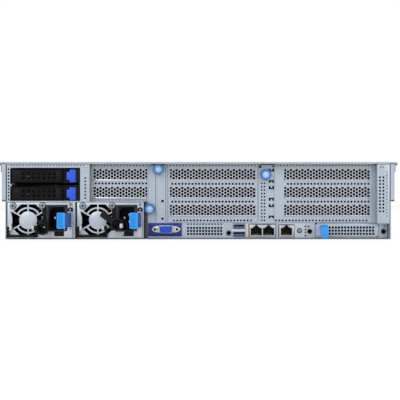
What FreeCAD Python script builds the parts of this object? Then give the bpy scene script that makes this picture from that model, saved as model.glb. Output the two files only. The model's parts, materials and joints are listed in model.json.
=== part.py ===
import FreeCAD, Part
import math
import os
import re
import Sketcher

# Driving dimensions of the server in millimetres, by cell alias.
SIZES = {
    # Case
    "body_width": 434.0,
    "skirt_step": 4.0,
    "lid_overhang": 3.5,
    "ear_wing": 24.3,
    "height": 87.0,
    "gauge": 1.0,
    "skirt_height": 45.0,
    "lip_height": 4.2,
    "flange_height": 7.3,
    "hem_width": 4.5,
    "seat_gap": 0.3,
    "recess": 12.5,
    "front_cover_length": 190.0,
    "boss_height": 5.0,
    "boss_radius": 3.0,
    "stud_radius": 3.2,
    "stud_reach": 3.7,
    "stud_level": 22.0,
    "stud_first": 120.0,
    "stud_spacing": 210.0,
    # Rear panel and expansion slots
    "panel_left": -57.6,
    "panel_width": 273.2,
    "io_height": 17.8,
    "column_width": 14.1,
    "slot_pitch": 20.32,
    "slot_top": 72.8,
    "window_height": 13.2,
    "window_width": 97.6,
    "low_window_width": 59.2,
    "left_riser_x": -34.3,
    "left_riser_width": 102.2,
    "left_window_x": -32.1,
    "right_riser_x": 86.8,
    "right_riser_width": 111.8,
    "right_window_x": 98.0,
    "low_bracket_x": -122.4,
    "low_bracket_width": 64.8,
    "low_window_x": -118.8,
    "riser_lap": 0.5,
    "bracket_length": 150.0,
    "riser_length": 168.0,
    "cover_gauge": 0.8,
    "cover_lap": 1.6,
    "cover_lip": 6.0,
    "vent_flats": 5.0,
    "vent_pitch": 9.8,
    # Thumbscrews
    "knob_radius": 5.9,
    "knob_length": 7.4,
    "screw_radius": 1.8,
    "screw_length": 6.0,
    # Power supplies
    "psu_width": 73.5,
    "psu_height": 40.0,
    "psu_length": 185.0,
    "psu_pitch": 78.4,
    "psu_gap": 1.3,
    "cage_gauge": 0.8,
    "guard_radius": 19.5,
    "guard_clip": 17.1,
    "guard_hub": 10.1,
    "guard_ring": 14.0,
    "guard_bar": 1.7,
    "guard_offset": 13.3,
    "fan_pocket": 25.0,
    "psu_fan_depth": 15.0,
    "inlet_width": 24.3,
    "inlet_height": 29.8,
    "inlet_offset": 19.0,
    "inlet_depth": 20.0,
    "socket_width": 15.4,
    "socket_height": 24.0,
    "socket_depth": 16.0,
    "latch_reach": 40.0,
    "latch_height": 16.0,
    "latch_offset": 33.7,
    "latch_blade": 1.5,
    "latch_pad": 9.0,
    "bail_width": 32.0,
    "bail_drop": 9.0,
    "bail_radius": 1.5,
    "bail_offset": 19.6,
    "clamp_ring": 6.2,
    "clamp_wall": 1.5,
    "clamp_band": 6.0,
    # Rear drive bays
    "bay_width": 78.8,
    "bay_left": -211.6,
    "carrier_gap": 0.4,
    "carrier_height": 15.7,
    "carrier_pitch": 19.9,
    "carrier_length": 112.0,
    "cage_height": 38.8,
    "lever_thickness": 4.0,
    "lever_length": 55.0,
    "barrel_radius": 2.0,
    "pin_radius": 0.8,
    "fit": 0.05,
    "button_width": 9.0,
    "drive_width": 70.0,
    "drive_length": 100.0,
    "drive_height": 9.5,
    # Inside
    "io_depth": 18.0,
    "board_gauge": 1.6,
    "board_length": 400.0,
    "sink_width": 78.0,
    "sink_length": 108.0,
    "sink_height": 62.0,
    "sink_offset": 96.0,
    "fin_gauge": 1.6,
    "module_length": 133.4,
    "module_height": 31.0,
    "module_pitch": 9.4,
    "duct_gauge": 1.5,
    "duct_height": 72.8,
    "duct_length": 150.0,
    "fan_size": 80.0,
    "fan_depth": 38.0,
    "fan_spacing": 105.0,
    "fan_bore": 38.5,
    "fan_hub": 18.0,
    "fan_clearance": 21.5,
    "bay_clearance": 62.0,
    # Front drive bays
    "front_bay_width": 106.0,
    "front_bay_height": 27.5,
    "front_carrier_gap": 0.4,
    "front_bay_length": 178.0,
    "front_drive_length": 147.0,
    "bezel_depth": 10.0,
    # Ears and small parts
    "ear_gauge": 2.0,
    "ear_reach": 16.0,
    "ear_slot_height": 6.8,
    "ear_slot_width": 10.3,
    "ear_hole_inset": 8.75,
    "ear_hole_z": 5.4,
    "power_radius": 4.5,
    "id_radius": 2.6,
    "id_travel": 0.8,
    "card_left": 133.6,
    "card_width": 71.6,
    "card_length": 108.0,
    "card_height": 15.6,
    "tab_width": 8.0,
    "tab_reach": 12.0,
    "handle_length": 58.0,
    "handle_width": 36.0,
}

# Places worked out from the driving dimensions.
PLACES = {
    "depth": "recess + io_depth + board_length + fan_clearance + fan_depth + bay_clearance + front_bay_length",
    "skirt_width": "body_width + 2 * skirt_step",
    "lid_width": "skirt_width + 2 * lid_overhang",
    "back": "(latch_reach - depth - ear_reach) / 2",
    "front": "back + depth",
    "panel_y": "back + recess",
    "lid_under": "height - gauge",
    "wall_top": "lid_under - seat_gap",
    "side": "body_width / 2",
    "skirt": "skirt_width / 2",
    "panel_top": "wall_top - 1.4",
    "psu_left": "gauge - side + psu_gap",
    "psu_floor": "gauge + seat_gap",
    "psu_mid": "psu_floor + psu_height / 2",
    "shelf_z": "psu_floor + psu_height + seat_gap",
    "shelf_top": "shelf_z + cage_gauge",
    "bay_floor": "shelf_top + cage_gauge + seat_gap",
    "board_z": "gauge + boss_height",
    "board_top": "board_z + board_gauge",
    "fan_y": "panel_y + io_depth + board_length + fan_clearance",
    "ear_span": "body_width + 2 * ear_wing",
    "ear_hole_x": "ear_span / 2 - ear_hole_inset",
    "cage_left": "-2 * front_bay_width",
    "cage_back": "front - front_bay_length",
    "bays_top": "gauge + 2 * front_bay_height + cage_gauge",
}

ABOUT = {"x": ((0, 1, 0), 90), "y": ((1, 0, 0), -90), "z": ((0, 0, 1), 0)}

doc = FreeCAD.newDocument("rack_server")
pieces = []


def write_sheet():
    """Fill the spreadsheet and the places that follow from it."""
    sheet = doc.addObject("Spreadsheet::Sheet", "Sizes")
    for row, (alias, value) in enumerate(SIZES.items(), start=1):
        cell = "B%d" % row
        sheet.set("A%d" % row, alias)
        sheet.set(cell, str(value))
        sheet.setAlias(cell, alias)
    doc.recompute()
    places = doc.addObject("App::VarSet", "Places")
    for name in PLACES:
        places.addProperty("App::PropertyFloat", name, "Places")
    for name, text in PLACES.items():
        places.setExpression(name, bound(text).replace("Places.", ""))
    probe = doc.addObject("App::VarSet", "Probe")
    probe.addProperty("App::PropertyFloat", "reading", "Places")
    doc.recompute()
    return probe


def bound(text):
    """Name the sheet or the places in front of each alias of an expression."""
    def owner(match):
        word = match.group()
        if word in SIZES:
            return "Sizes." + word
        if word in PLACES:
            return "Places." + word
        return word
    return re.sub(r"[a-z][a-z0-9_]*", owner, text)


def number(text):
    """The present value of an expression."""
    probe.setExpression("reading", bound(text))
    probe.recompute()
    return probe.reading


def tie(item, **fields):
    """Bind an object's properties to expressions."""
    for field, text in fields.items():
        item.setExpression(field.replace("__", "."), bound(text))
    return item


def block(name, across, along, up):
    """A box from a start and a length on each axis."""
    item = doc.addObject("Part::Box", name)
    tie(item, Length=across[1], Width=along[1], Height=up[1])
    tie(item, Placement__Base__x=across[0], Placement__Base__y=along[0], Placement__Base__z=up[0])
    return item


def rod(name, radius, length, base, axis):
    """A cylinder that starts at base and runs along the plus side of an axis."""
    item = doc.addObject("Part::Cylinder", name)
    vector, angle = ABOUT[axis]
    item.Placement = FreeCAD.Placement(FreeCAD.Vector(), FreeCAD.Rotation(FreeCAD.Vector(*vector), angle))
    tie(item, Radius=radius, Height=length)
    tie(item, Placement__Base__x=base[0], Placement__Base__y=base[1], Placement__Base__z=base[2])
    return item


def prism(name, sides, radius, length, base, axis):
    """A regular prism that starts at base and runs along the plus side of an axis."""
    item = doc.addObject("Part::Prism", name)
    vector, angle = ABOUT[axis]
    item.Placement = FreeCAD.Placement(FreeCAD.Vector(), FreeCAD.Rotation(FreeCAD.Vector(*vector), angle))
    item.Polygon = sides
    tie(item, Circumradius=radius, Height=length)
    tie(item, Placement__Base__x=base[0], Placement__Base__y=base[1], Placement__Base__z=base[2])
    return item


def join(kind, name, items):
    item = doc.addObject(kind, name)
    if kind == "Part::Compound":
        item.Links = items
    else:
        item.Shapes = items
        item.Refine = True
    return item


def fuse(name, *items):
    return join("Part::MultiFuse", name, list(items))


def common(name, *items):
    return join("Part::MultiCommon", name, list(items))


def group(name, *items):
    """Separate solids that share one file."""
    return join("Part::Compound", name, list(items))


def cut(name, base, *tools):
    item = doc.addObject("Part::Cut", name)
    item.Base = base
    item.Tool = tools[0] if len(tools) == 1 else fuse(name + "_tools", *tools)
    item.Refine = True
    return item


def fixed(name, shape, x="0", y="0", z="0", rotation=None):
    """A shape made in code, then placed by expressions."""
    item = doc.addObject("Part::Feature", name)
    item.Shape = shape
    if rotation:
        item.Placement = FreeCAD.Placement(FreeCAD.Vector(), rotation)
    tie(item, Placement__Base__x=x, Placement__Base__y=y, Placement__Base__z=z)
    return item


def outline(body, name, role, level, points):
    """A sketch of straight lines with every corner bound to the sizes."""
    sketch = body.newObject("Sketcher::SketchObject", name)
    plane = [item for item in body.Origin.OriginFeatures if item.Role == role][0]
    sketch.AttachmentSupport = [(plane, "")]
    sketch.MapMode = "FlatFace"
    tie(sketch, AttachmentOffset__Base__z=level)
    spots = [FreeCAD.Vector(number(across), number(up), 0) for across, up in points]
    count = len(points)
    for step in range(count):
        sketch.addGeometry(Part.LineSegment(spots[step], spots[(step + 1) % count]))
    for step in range(count):
        sketch.addConstraint(Sketcher.Constraint("Coincident", step, 2, (step + 1) % count, 1))
    for step, (across, up) in enumerate(points):
        for kind, text, value in (("DistanceX", across, spots[step].x), ("DistanceY", up, spots[step].y)):
            index = sketch.addConstraint(Sketcher.Constraint(kind, -1, 1, step, 1, value))
            sketch.setExpression("Constraints[%d]" % index, bound(text))
    return sketch


def padded(name, role, level, length, points):
    """A body padded from one outline."""
    body = doc.addObject("PartDesign::Body", name)
    sketch = outline(body, name + "_outline", role, level, points)
    pad = body.newObject("PartDesign::Pad", name + "_pad")
    pad.Profile = sketch
    tie(pad, Length=length)
    sketch.Visibility = False
    return body


def keep(label, item):
    """Name a finished sub-part and list it for its file."""
    item.Label = label
    pieces.append(item)
    return item


def mirrored(points):
    """Right-hand outline points followed by their mirror images."""
    left = [("-(%s)" % across, up) for across, up in reversed(points)]
    return points + left


probe = write_sheet()


# Case

def chassis_tray():
    """Floor and stepped side walls, with hems at the back, board bosses and rail studs."""
    half = [("side", "0"), ("side", "skirt_height - gauge"), ("skirt", "skirt_height - gauge"),
            ("skirt", "wall_top"), ("skirt - gauge", "wall_top"), ("skirt - gauge", "skirt_height"),
            ("side - gauge", "skirt_height"), ("side - gauge", "gauge")]
    parts = [padded("tray_shell", "XZ_Plane", "-front", "depth", mirrored(half))]
    hem = ("back", "gauge")
    rise = ("skirt_height - gauge", "wall_top - skirt_height + gauge")
    parts.append(block("left_hem", ("-skirt", "hem_width"), hem, rise))
    parts.append(block("right_hem", ("skirt - hem_width", "hem_width"), hem, rise))
    spots = [("-40", 150), ("110", 150), ("-190", 260), ("190", 260), ("-190", 390), ("0", 390), ("190", 390)]
    for index, (across, along) in enumerate(spots):
        base = (across, "back + %d" % along, "gauge")
        parts.append(prism("boss_%d" % index, 6, "boss_radius", "boss_height", base, "z"))
    for index in range(3):
        along = "back + stud_first + %d * stud_spacing" % index
        parts.append(rod("left_stud_%d" % index, "stud_radius", "stud_reach",
                         ("-side - stud_reach", along, "stud_level"), "x"))
        parts.append(rod("right_stud_%d" % index, "stud_radius", "stud_reach",
                         ("side", along, "stud_level"), "x"))
    keep("chassis_tray", fuse("tray", *parts))


def lid_section(name, start, length):
    """One length of the lid: top plate, rim and inner flange."""
    lip = "height - lip_height"
    half = [("lid_width / 2", "height"), ("lid_width / 2", lip), ("skirt + seat_gap + gauge", lip),
            ("skirt + seat_gap + gauge", lip + " - flange_height"),
            ("skirt + seat_gap", lip + " - flange_height"), ("skirt + seat_gap", lip + " + gauge"),
            ("lid_width / 2 - gauge", lip + " + gauge"), ("lid_width / 2 - gauge", "lid_under")]
    return padded(name, "XZ_Plane", "-(%s) - (%s)" % (start, length), length,
                  [half[0]] + half[1:] + [("-(%s)" % across, up) for across, up in reversed(half)])


def covers():
    """Sliding top cover with the well and hinge pin of its latch, and the fixed front cover."""
    rear_length = "depth - front_cover_length - seat_gap"
    shell = lid_section("rear_lid", "back", rear_length)
    well = block("latch_well", ("-handle_width / 2 - 1", "handle_width + 2"),
                 ("back + 300", "handle_length + 2"), ("lid_under - 1", "gauge + 2"))
    lid = cut("rear_lid_cut", shell, well)
    hinge_y = "back + 300 + handle_length - 2"
    hinge_z = "lid_under - 1.6"
    lugs = [block("lug_left", ("-handle_width / 2 - 3", "2.4"), (hinge_y + " - 3", "6"),
                  ("lid_under - 5", "5.2")),
            block("lug_right", ("handle_width / 2 + 0.6", "2.4"), (hinge_y + " - 3", "6"),
                  ("lid_under - 5", "5.2"))]
    pin = rod("latch_pin", "pin_radius", "handle_width + 4", ("-handle_width / 2 - 2", hinge_y, hinge_z), "x")
    keep("top_cover", fuse("rear_lid_all", lid, *lugs, pin))
    keep("front_cover", lid_section("front_lid", "front - front_cover_length", "front_cover_length"))
    plate = block("latch_plate", ("-handle_width / 2", "handle_width"),
                  ("back + 301", "handle_length - 3"), ("lid_under - 0.6", "1.4"))
    barrel = rod("latch_barrel", "barrel_radius", "handle_width",
                 ("-handle_width / 2", hinge_y, hinge_z), "x")
    grip = block("latch_grip", ("-handle_width / 4", "handle_width / 2"), ("back + 306", "14"),
                 ("lid_under - 1", "3"))
    bore = rod("latch_bore", "pin_radius + fit", "handle_width + 2",
               ("-handle_width / 2 - 1", hinge_y, hinge_z), "x")
    keep("cover_latch", cut("latch_lever", fuse("latch_blank", plate, barrel), grip, bore))


# Rear panel and expansion slots

def riser_window(name, left, width, clearance):
    return block(name, (left + " + " + clearance, width + " - 2 * (%s)" % clearance),
                 ("panel_y - 2", "6"),
                 ("io_height + 1 + " + clearance, "panel_top - io_height - 1 - 2 * (%s)" % clearance))


def rear_panel():
    """Port row and columns in one sheet, with a raised column at the right and a foot on the floor."""
    right = "panel_left + panel_width"
    sheet = block("panel_sheet", ("panel_left", "panel_width"), ("panel_y", "gauge"),
                  ("gauge", "panel_top - gauge"))
    foot = block("panel_foot", ("panel_left", "panel_width"), ("panel_y", "12"), ("gauge", "0.8"))
    face = block("column_face", (right + " - column_width", "column_width"), ("back", "gauge"),
                 ("io_height", "panel_top - io_height"))
    wall = block("column_wall", (right + " - column_width", "gauge"), ("back", "recess"),
                 ("io_height", "panel_top - io_height"))
    step = block("column_step", (right + " - column_width", "column_width"), ("back", "recess"),
                 ("io_height", "gauge"))
    solid = fuse("panel_solid", sheet, foot, face, wall, step)
    openings = [riser_window("left_opening", "left_riser_x", "left_riser_width", "riser_lap"),
                riser_window("right_opening", "right_riser_x", "right_riser_width", "riser_lap")]
    holes = {"vga_hole": ("-52.6", "32.2", "4.6", "12.4"),
             "usb_hole": ("39.8", "14.0", "1.8", "15.5"),
             "network_hole": ("58.2", "30.0", "1.8", "14.6"),
             "management_hole": ("92.1", "17.0", "1.8", "13.8"),
             "card_hole": ("card_left - seat_gap", "card_width + 2 * seat_gap", "1.8", "card_height + 0.4")}
    for name, (across, width, low, tall) in holes.items():
        openings.append(block(name, (across, width), ("panel_y - 1", "16"), (low, tall)))
    openings.append(rod("id_hole", "id_radius + seat_gap", "4", ("115.6", "panel_y - 1", "9.3"), "y"))
    for index in range(6):
        openings.append(block("grid_slot_%d" % index, ("-10.6 + %d * 6" % index, "4.0"),
                              ("panel_y - 1", "3"), ("4.6", "9.0")))
    for index, (across, up) in enumerate(SCREWS):
        openings.append(rod("screw_hole_%d" % index, "screw_radius + seat_gap", "4",
                            (across, "panel_y - 1", up), "y"))
    keep("rear_panel", cut("panel_cut", solid, *openings))


SCREWS = [("-45.2", "79.3"), ("-54.9", "34.1"), ("76.8", "73.0")]


def thumbscrews():
    """Captive thumbscrews: shank, neck and a knob with a recessed face."""
    for index, (across, up) in enumerate(SCREWS, start=1):
        tag = "_%d" % index
        shank = rod("shank" + tag, "screw_radius", "screw_length + knob_length - 1",
                    (across, "panel_y - knob_length + 1", up), "y")
        neck = prism("neck" + tag, 16, "knob_radius - 1.3", "2.5", (across, "panel_y - seat_gap - 2.5", up), "y")
        knob = prism("knob" + tag, 16, "knob_radius", "knob_length - 1.8", (across, "panel_y - knob_length", up), "y")
        dish = prism("dish" + tag, 16, "knob_radius - 2.4", "2", (across, "panel_y - knob_length - 1", up), "y")
        keep("thumbscrew" + tag, cut("thumbscrew_all" + tag, fuse("thumbscrew_form" + tag, shank, neck, knob), dish))


def riser(side, left, width, window, slots, low, depth):
    """A slot frame with its windows, top shelf and upright card."""
    frame = block(side + "_frame", (left, width), ("panel_y - gauge", "gauge"), (low, "panel_top - (%s)" % low))
    shelf = block(side + "_shelf", (left + " + 2", width + " - 4"), ("panel_y - gauge", depth),
                  ("panel_top - 2.4", "gauge"))
    windows = []
    for index in range(slots):
        windows.append(block("%s_window_%d" % (side, index), (window[0], window[1]), ("panel_y - 2", "4"),
                             ("slot_top - %d * slot_pitch - window_height / 2" % index, "window_height")))
    bracket = cut(side + "_sheet", fuse(side + "_blank", frame, shelf), *windows)
    card = block(side + "_card", (left + " + 6", "board_gauge"), ("panel_y + 30", depth + " - 34"),
                 (low + " + 4", "panel_top - 2.4 - 4 - (%s)" % low))
    return group(side + "_all", bracket, card)


def hexagon(across, up, flats):
    radius = flats / math.sqrt(3)
    corners = []
    for step in range(7):
        angle = math.radians(60 * step + 30)
        corners.append(FreeCAD.Vector(across + radius * math.cos(angle), 0, up + radius * math.sin(angle)))
    return Part.makePolygon(corners)


def vented_plate(name, window, index):
    """A slot cover: plate with staggered six-sided vents and a lip along its lower edge."""
    lap = number("cover_lap")
    wide = number(window[1]) + 2 * lap
    tall = number("window_height") + 2 * lap
    thick = number("cover_gauge")
    pitch = number("vent_pitch")
    flats = number("vent_flats")
    rim = Part.makePolygon([FreeCAD.Vector(*spot) for spot in
                            ((0, 0, 0), (wide, 0, 0), (wide, 0, tall), (0, 0, tall), (0, 0, 0))])
    wires = [rim]
    columns = int((wide - 2 * lap - flats) / pitch)
    margin = (wide - columns * pitch) / 2
    for column in range(columns + 1):
        rows = 2 if column % 2 else 1
        for row in range(rows):
            up = tall / 2 + (row - (rows - 1) / 2) * (1.155 * flats + thick)
            wires.append(hexagon(margin + column * pitch, up, flats))
    plate = Part.makeFace(wires, "Part::FaceMakerBullseye").extrude(FreeCAD.Vector(0, thick, 0))
    base = fixed(name + "_plate", plate, window[0] + " - cover_lap", "panel_y",
                 "slot_top - %d * slot_pitch - window_height / 2 - cover_lap" % index)
    lip = block(name + "_lip", (window[0] + " - cover_lap", window[1] + " + 2 * cover_lap"),
                ("panel_y", "cover_lip"),
                ("slot_top - %d * slot_pitch - window_height / 2 - cover_lap" % index, "cover_gauge"))
    return fuse(name, base, lip)


def expansion_slots():
    """Low-profile bracket and both risers, each with its vented slot covers."""
    low_window = ("low_window_x", "low_window_width")
    left_window = ("left_window_x", "window_width")
    right_window = ("right_window_x", "window_width")
    keep("low_profile_bracket", riser("low_profile", "low_bracket_x", "low_bracket_width", low_window, 2,
                                      "shelf_top", "bracket_length"))
    keep("left_riser", riser("left", "left_riser_x", "left_riser_width", left_window, 3,
                             "io_height + 1", "riser_length"))
    keep("right_riser", riser("right", "right_riser_x", "right_riser_width", right_window, 3,
                              "io_height + 1", "riser_length"))
    for label, window, count in (("low_profile_covers", low_window, 2), ("left_slot_covers", left_window, 3),
                                 ("right_slot_covers", right_window, 3)):
        plates = [vented_plate("%s_%d" % (label, index), window, index) for index in range(count)]
        keep(label, group(label + "_all", *plates))


# Power supplies

def psu_cage():
    """Shelf over the power supplies, the divider between them and the outer wall with its foot."""
    long = ("back + 2", "psu_length + 8")
    shelf = block("cage_shelf", ("gauge - side", "psu_left + psu_pitch + psu_width + 1.4 - gauge + side"),
                  ("back", "psu_length + 10"), ("shelf_z", "cage_gauge"))
    divider = block("cage_divider", ("psu_left + (psu_width + psu_pitch - cage_gauge) / 2", "cage_gauge"),
                    long, ("gauge", "shelf_z - gauge"))
    wall = block("cage_wall", ("psu_left + psu_pitch + psu_width + 0.6", "cage_gauge"), long,
                 ("gauge", "shelf_z - gauge"))
    foot = block("cage_foot", ("psu_left + psu_pitch + psu_width + 0.6", "6"),
                 ("back + 40", "psu_length - 40"), ("gauge", "cage_gauge"))
    keep("psu_cage", fuse("cage_all", shelf, divider, wall, foot))


def drum(radius, thick, sides=24):
    """A many-sided disc on the origin that runs along Y."""
    rim = []
    for step in range(sides + 1):
        angle = 2 * math.pi * step / sides
        rim.append(FreeCAD.Vector(radius * math.cos(angle), 0, radius * math.sin(angle)))
    return Part.Face(Part.makePolygon(rim)).extrude(FreeCAD.Vector(0, thick, 0))


def fan_guard():
    """Hub disc, two ring arcs and six bars over the fan opening, centred on the origin and facing Y."""
    thick = number("cage_gauge")
    centre = FreeCAD.Vector(0, 0, 0)
    along = FreeCAD.Vector(0, 1, 0)
    outer = number("guard_radius")
    ring = number("guard_ring")
    bar = number("guard_bar")
    disc = drum(number("guard_hub"), thick)
    band = drum(ring + bar / 2, thick).cut(drum(ring - bar / 2, thick))
    reach = 2 * ring
    for turn in (0, 180):
        corner = ring * math.cos(math.radians(30)), ring * math.sin(math.radians(30))
        wedge = Part.makePolygon([centre, FreeCAD.Vector(2 * corner[0], 0, 2 * corner[1]),
                                  FreeCAD.Vector(2 * corner[0], 0, -2 * corner[1]), centre])
        wedge = Part.Face(wedge).extrude(FreeCAD.Vector(0, thick, 0))
        wedge.rotate(centre, along, turn)
        band = band.cut(wedge)
    bars = []
    for step in range(3):
        strip = Part.makeBox(2 * outer + 2, thick, bar, FreeCAD.Vector(-outer - 1, 0, -bar / 2))
        strip.rotate(centre, along, 30 + 60 * step)
        bars.append(strip)
    clip = number("guard_clip")
    limit = drum(outer + 0.2, thick).common(Part.makeBox(reach * 2, thick, 2 * clip + 0.4,
                                      FreeCAD.Vector(-reach, 0, -clip - 0.2)))
    return disc.multiFuse([band] + bars).common(limit).removeSplitter()


def impeller(hub, tip, depth, bore, chord, blades):
    """A bored hub with flat-rooted blades pitched round it, along Z."""
    lean = math.radians(40)
    sides = 2 * blades
    corner = hub / math.cos(math.pi / sides)
    rim = []
    for step in range(sides + 1):
        angle = 2 * math.pi * (step + 0.5) / sides
        rim.append(FreeCAD.Vector(corner * math.cos(angle), corner * math.sin(angle), 0))
    shape = Part.Face(Part.makePolygon(rim)).extrude(FreeCAD.Vector(0, 0, depth))
    reach = math.sqrt(tip ** 2 - (chord / 2 * math.sin(lean) + 1) ** 2)
    blade = Part.makeBox(reach - hub + 0.5, 1.2, chord, FreeCAD.Vector(hub - 0.5, -0.6, -chord / 2))
    blade.rotate(FreeCAD.Vector(), FreeCAD.Vector(1, 0, 0), math.degrees(lean))
    blade.translate(FreeCAD.Vector(0, 0, depth / 2))
    fan = []
    for step in range(blades):
        copy = blade.copy()
        copy.rotate(FreeCAD.Vector(), FreeCAD.Vector(0, 0, 1), 360.0 * step / blades)
        fan.append(copy)
    shape = shape.multiFuse(fan)
    return shape.cut(Part.makeCylinder(bore, depth * 0.8, FreeCAD.Vector(0, 0, depth * 0.2)))


def power_supply(index, left):
    """Case with guard, fan pocket and lugs, and the pieces that it carries."""
    tag = "_%d" % index
    mid = left + " + psu_width / 2"
    fan_x = mid + " - guard_offset"
    inlet_x = mid + " + inlet_offset - inlet_width / 2"
    case = block("case_block" + tag, (left, "psu_width"), ("back", "psu_length"), ("psu_floor", "psu_height"))
    mouth = common("case_mouth" + tag,
                   prism("mouth_round" + tag, 24, "guard_radius", "cage_gauge + 1",
                         (fan_x, "back - 1", "psu_mid"), "y"),
                   block("mouth_clip" + tag, (fan_x + " - 30", "60"), ("back - 2", "6"),
                         ("psu_mid - guard_clip", "2 * guard_clip")))
    pocket = block("case_pocket" + tag, (fan_x + " - guard_radius + 0.2", "2 * guard_radius - 0.4"),
                   ("back + cage_gauge", "fan_pocket"),
                   ("psu_mid - guard_radius + 0.2", "2 * guard_radius - 0.4"))
    seat = block("case_seat" + tag, (inlet_x + " - 0.1", "inlet_width + 0.2"), ("back - 1", "inlet_depth + 1"),
                 ("psu_mid + 2.3 - inlet_height / 2 - 0.1", "inlet_height + 0.2"))
    hollow = cut("case_hollow" + tag, case, mouth, pocket, seat)
    guard = fixed("case_guard" + tag, fan_guard(), fan_x, "back", "psu_mid")
    shaft = rod("case_shaft" + tag, "pin_radius + 0.4", "10",
                (fan_x, "back + cage_gauge + fan_pocket - 9.5", "psu_mid"), "y")
    low = "psu_mid + 0.5 - latch_height / 2"
    lugs = [block("latch_lug_low" + tag, (mid + " + latch_offset - 2", "4"), ("back - 4", "4.5"),
                  (low + " - 1.4", "1.2")),
            block("latch_lug_high" + tag, (mid + " + latch_offset - 2", "4"), ("back - 4", "4.5"),
                  (low + " + latch_height + 0.2", "1.2")),
            rod("latch_axle" + tag, "pin_radius", "latch_height + 2",
                (mid + " + latch_offset", "back - 2.2", low + " - 1"), "z")]
    bail_x = mid + " - bail_offset"
    pivot_z = "psu_floor + bail_drop + bail_radius + 0.8"
    for name, start in (("bail_lug_left", bail_x + " - bail_width / 2 + bail_radius + 0.6"),
                        ("bail_lug_right", bail_x + " + bail_width / 2 - bail_radius - 3.4")):
        ear = block(name + tag, (start, "2.8"), ("back - 5.4", "5.4"), (pivot_z + " - 2.6", "5.2"))
        eye = rod(name + "_eye" + tag, "pin_radius + 0.4 + fit", "4", (start + " - 0.6", "back - 3", pivot_z), "x")
        lugs.append(cut(name + "_bored" + tag, ear, eye))
    keep("psu_case" + tag, fuse("case_all" + tag, hollow, guard, shaft, *lugs))

    wheel = impeller(number("guard_hub") - 1.0, number("guard_radius") - 0.9, number("psu_fan_depth"),
                     number("pin_radius + 0.4 + fit"), 13.0, 7)
    spin = fixed("fan_wheel" + tag, wheel, fan_x, "back + cage_gauge + 3", "psu_mid",
                 FreeCAD.Rotation(FreeCAD.Vector(1, 0, 0), -90))
    keep("psu_fan" + tag, spin)
    inlet(index, inlet_x)
    release_latch(index, mid, low)
    bail(index, bail_x, pivot_z)
    clamp(index, mid)


def inlet(index, left):
    """Mains inlet with its long side upright, a chamfered cavity and three pins."""
    tag = "_%d" % index
    low = "psu_mid + 2.3 - inlet_height / 2"
    shell = block("inlet_block" + tag, (left, "inlet_width"), ("back - 0.8", "inlet_depth + 0.8"),
                  (low, "inlet_height"))
    near = left + " + (inlet_width - socket_width) / 2"
    base = low + " + (inlet_height - socket_height) / 2"
    points = [(near + " + 4", base), (near + " + socket_width", base),
              (near + " + socket_width", base + " + socket_height"), (near + " + 4", base + " + socket_height"),
              (near, base + " + socket_height - 4"), (near, base + " + 4")]
    cavity = padded("inlet_cavity" + tag, "XZ_Plane", "-(back - 0.8 + socket_depth)", "socket_depth + 1", points)
    parts = [cut("inlet_cut" + tag, shell, cavity)]
    for name, across, up in (("line", "+ 9.6", "+ 4.4"), ("neutral", "+ 9.6", "+ socket_height - 8.4"),
                             ("earth", "+ 4", "+ socket_height / 2 - 2")):
        parts.append(block("inlet_%s%s" % (name, tag), (near + " " + across, "2"),
                           ("back + 3", "socket_depth - 2.5"), (base + " " + up, "4")))
    keep("psu_inlet" + tag, fuse("inlet_all" + tag, *parts))


def release_latch(index, mid, low):
    """Upright blade hinged at the case, with a thumb pad at its tip."""
    tag = "_%d" % index
    axis_x = mid + " + latch_offset"
    blade = block("latch_blade" + tag, (axis_x + " - latch_blade / 2", "latch_blade"),
                  ("back - latch_reach + 1", "latch_reach - 3.2"), (low, "latch_height"))
    pad = block("latch_tip" + tag, (axis_x + " + latch_blade / 2 - latch_pad", "latch_pad"),
                ("back - latch_reach", "3"), (low + " - 0.6", "latch_height + 1.2"))
    round_pad = doc.addObject("Part::Chamfer", "latch_tip_bevel" + tag)
    round_pad.Base = pad
    doc.recompute()
    edges = []
    for count, edge in enumerate(pad.Shape.Edges, start=1):
        if abs(edge.Vertexes[0].Y - edge.Vertexes[-1].Y) > 1:
            edges.append((count, 1.4, 1.4))
    round_pad.Edges = edges
    barrel = rod("latch_knuckle" + tag, "pin_radius + 0.8", "latch_height", (axis_x, "back - 2.2", low), "z")
    bore = rod("latch_eye" + tag, "pin_radius + fit", "latch_height + 2", (axis_x, "back - 2.2", low + " - 1"), "z")
    keep("psu_latch" + tag, cut("latch_all" + tag, fuse("latch_form" + tag, blade, round_pad, barrel), bore))


def bail(index, centre, pivot_z):
    """Wire handle that hangs from two lugs."""
    tag = "_%d" % index
    left = centre + " - bail_width / 2"
    right = centre + " + bail_width / 2"
    low = pivot_z + " - bail_drop"
    thick = ("back - 3 - bail_radius", "2 * bail_radius")
    bar = block("bail_bar" + tag, (left + " - bail_radius", "bail_width + 2 * bail_radius"), thick,
                (low + " - bail_radius", "2 * bail_radius"))
    legs = [block("bail_leg_left" + tag, (left + " - bail_radius", "2 * bail_radius"), thick,
                  (low + " - bail_radius", "bail_drop + 2 * bail_radius")),
            block("bail_leg_right" + tag, (right + " - bail_radius", "2 * bail_radius"), thick,
                  (low + " - bail_radius", "bail_drop + 2 * bail_radius"))]
    stubs = [rod("bail_stub_left" + tag, "pin_radius + 0.4", "bail_radius + 3", (left, "back - 3", pivot_z), "x"),
             rod("bail_stub_right" + tag, "pin_radius + 0.4", "bail_radius + 3",
                 (right + " - bail_radius - 3", "back - 3", pivot_z), "x")]
    keep("psu_handle" + tag, fuse("bail_all" + tag, bar, *legs, *stubs))


# Root of each clamp on the case face and centre of its ring, as offsets from the middle of the supply.
CLAMPS = {1: ((2.2, -4.0), (5.2, -12.6)), 2: ((-5.4, 6.0), (9.6, -4.4))}


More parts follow.
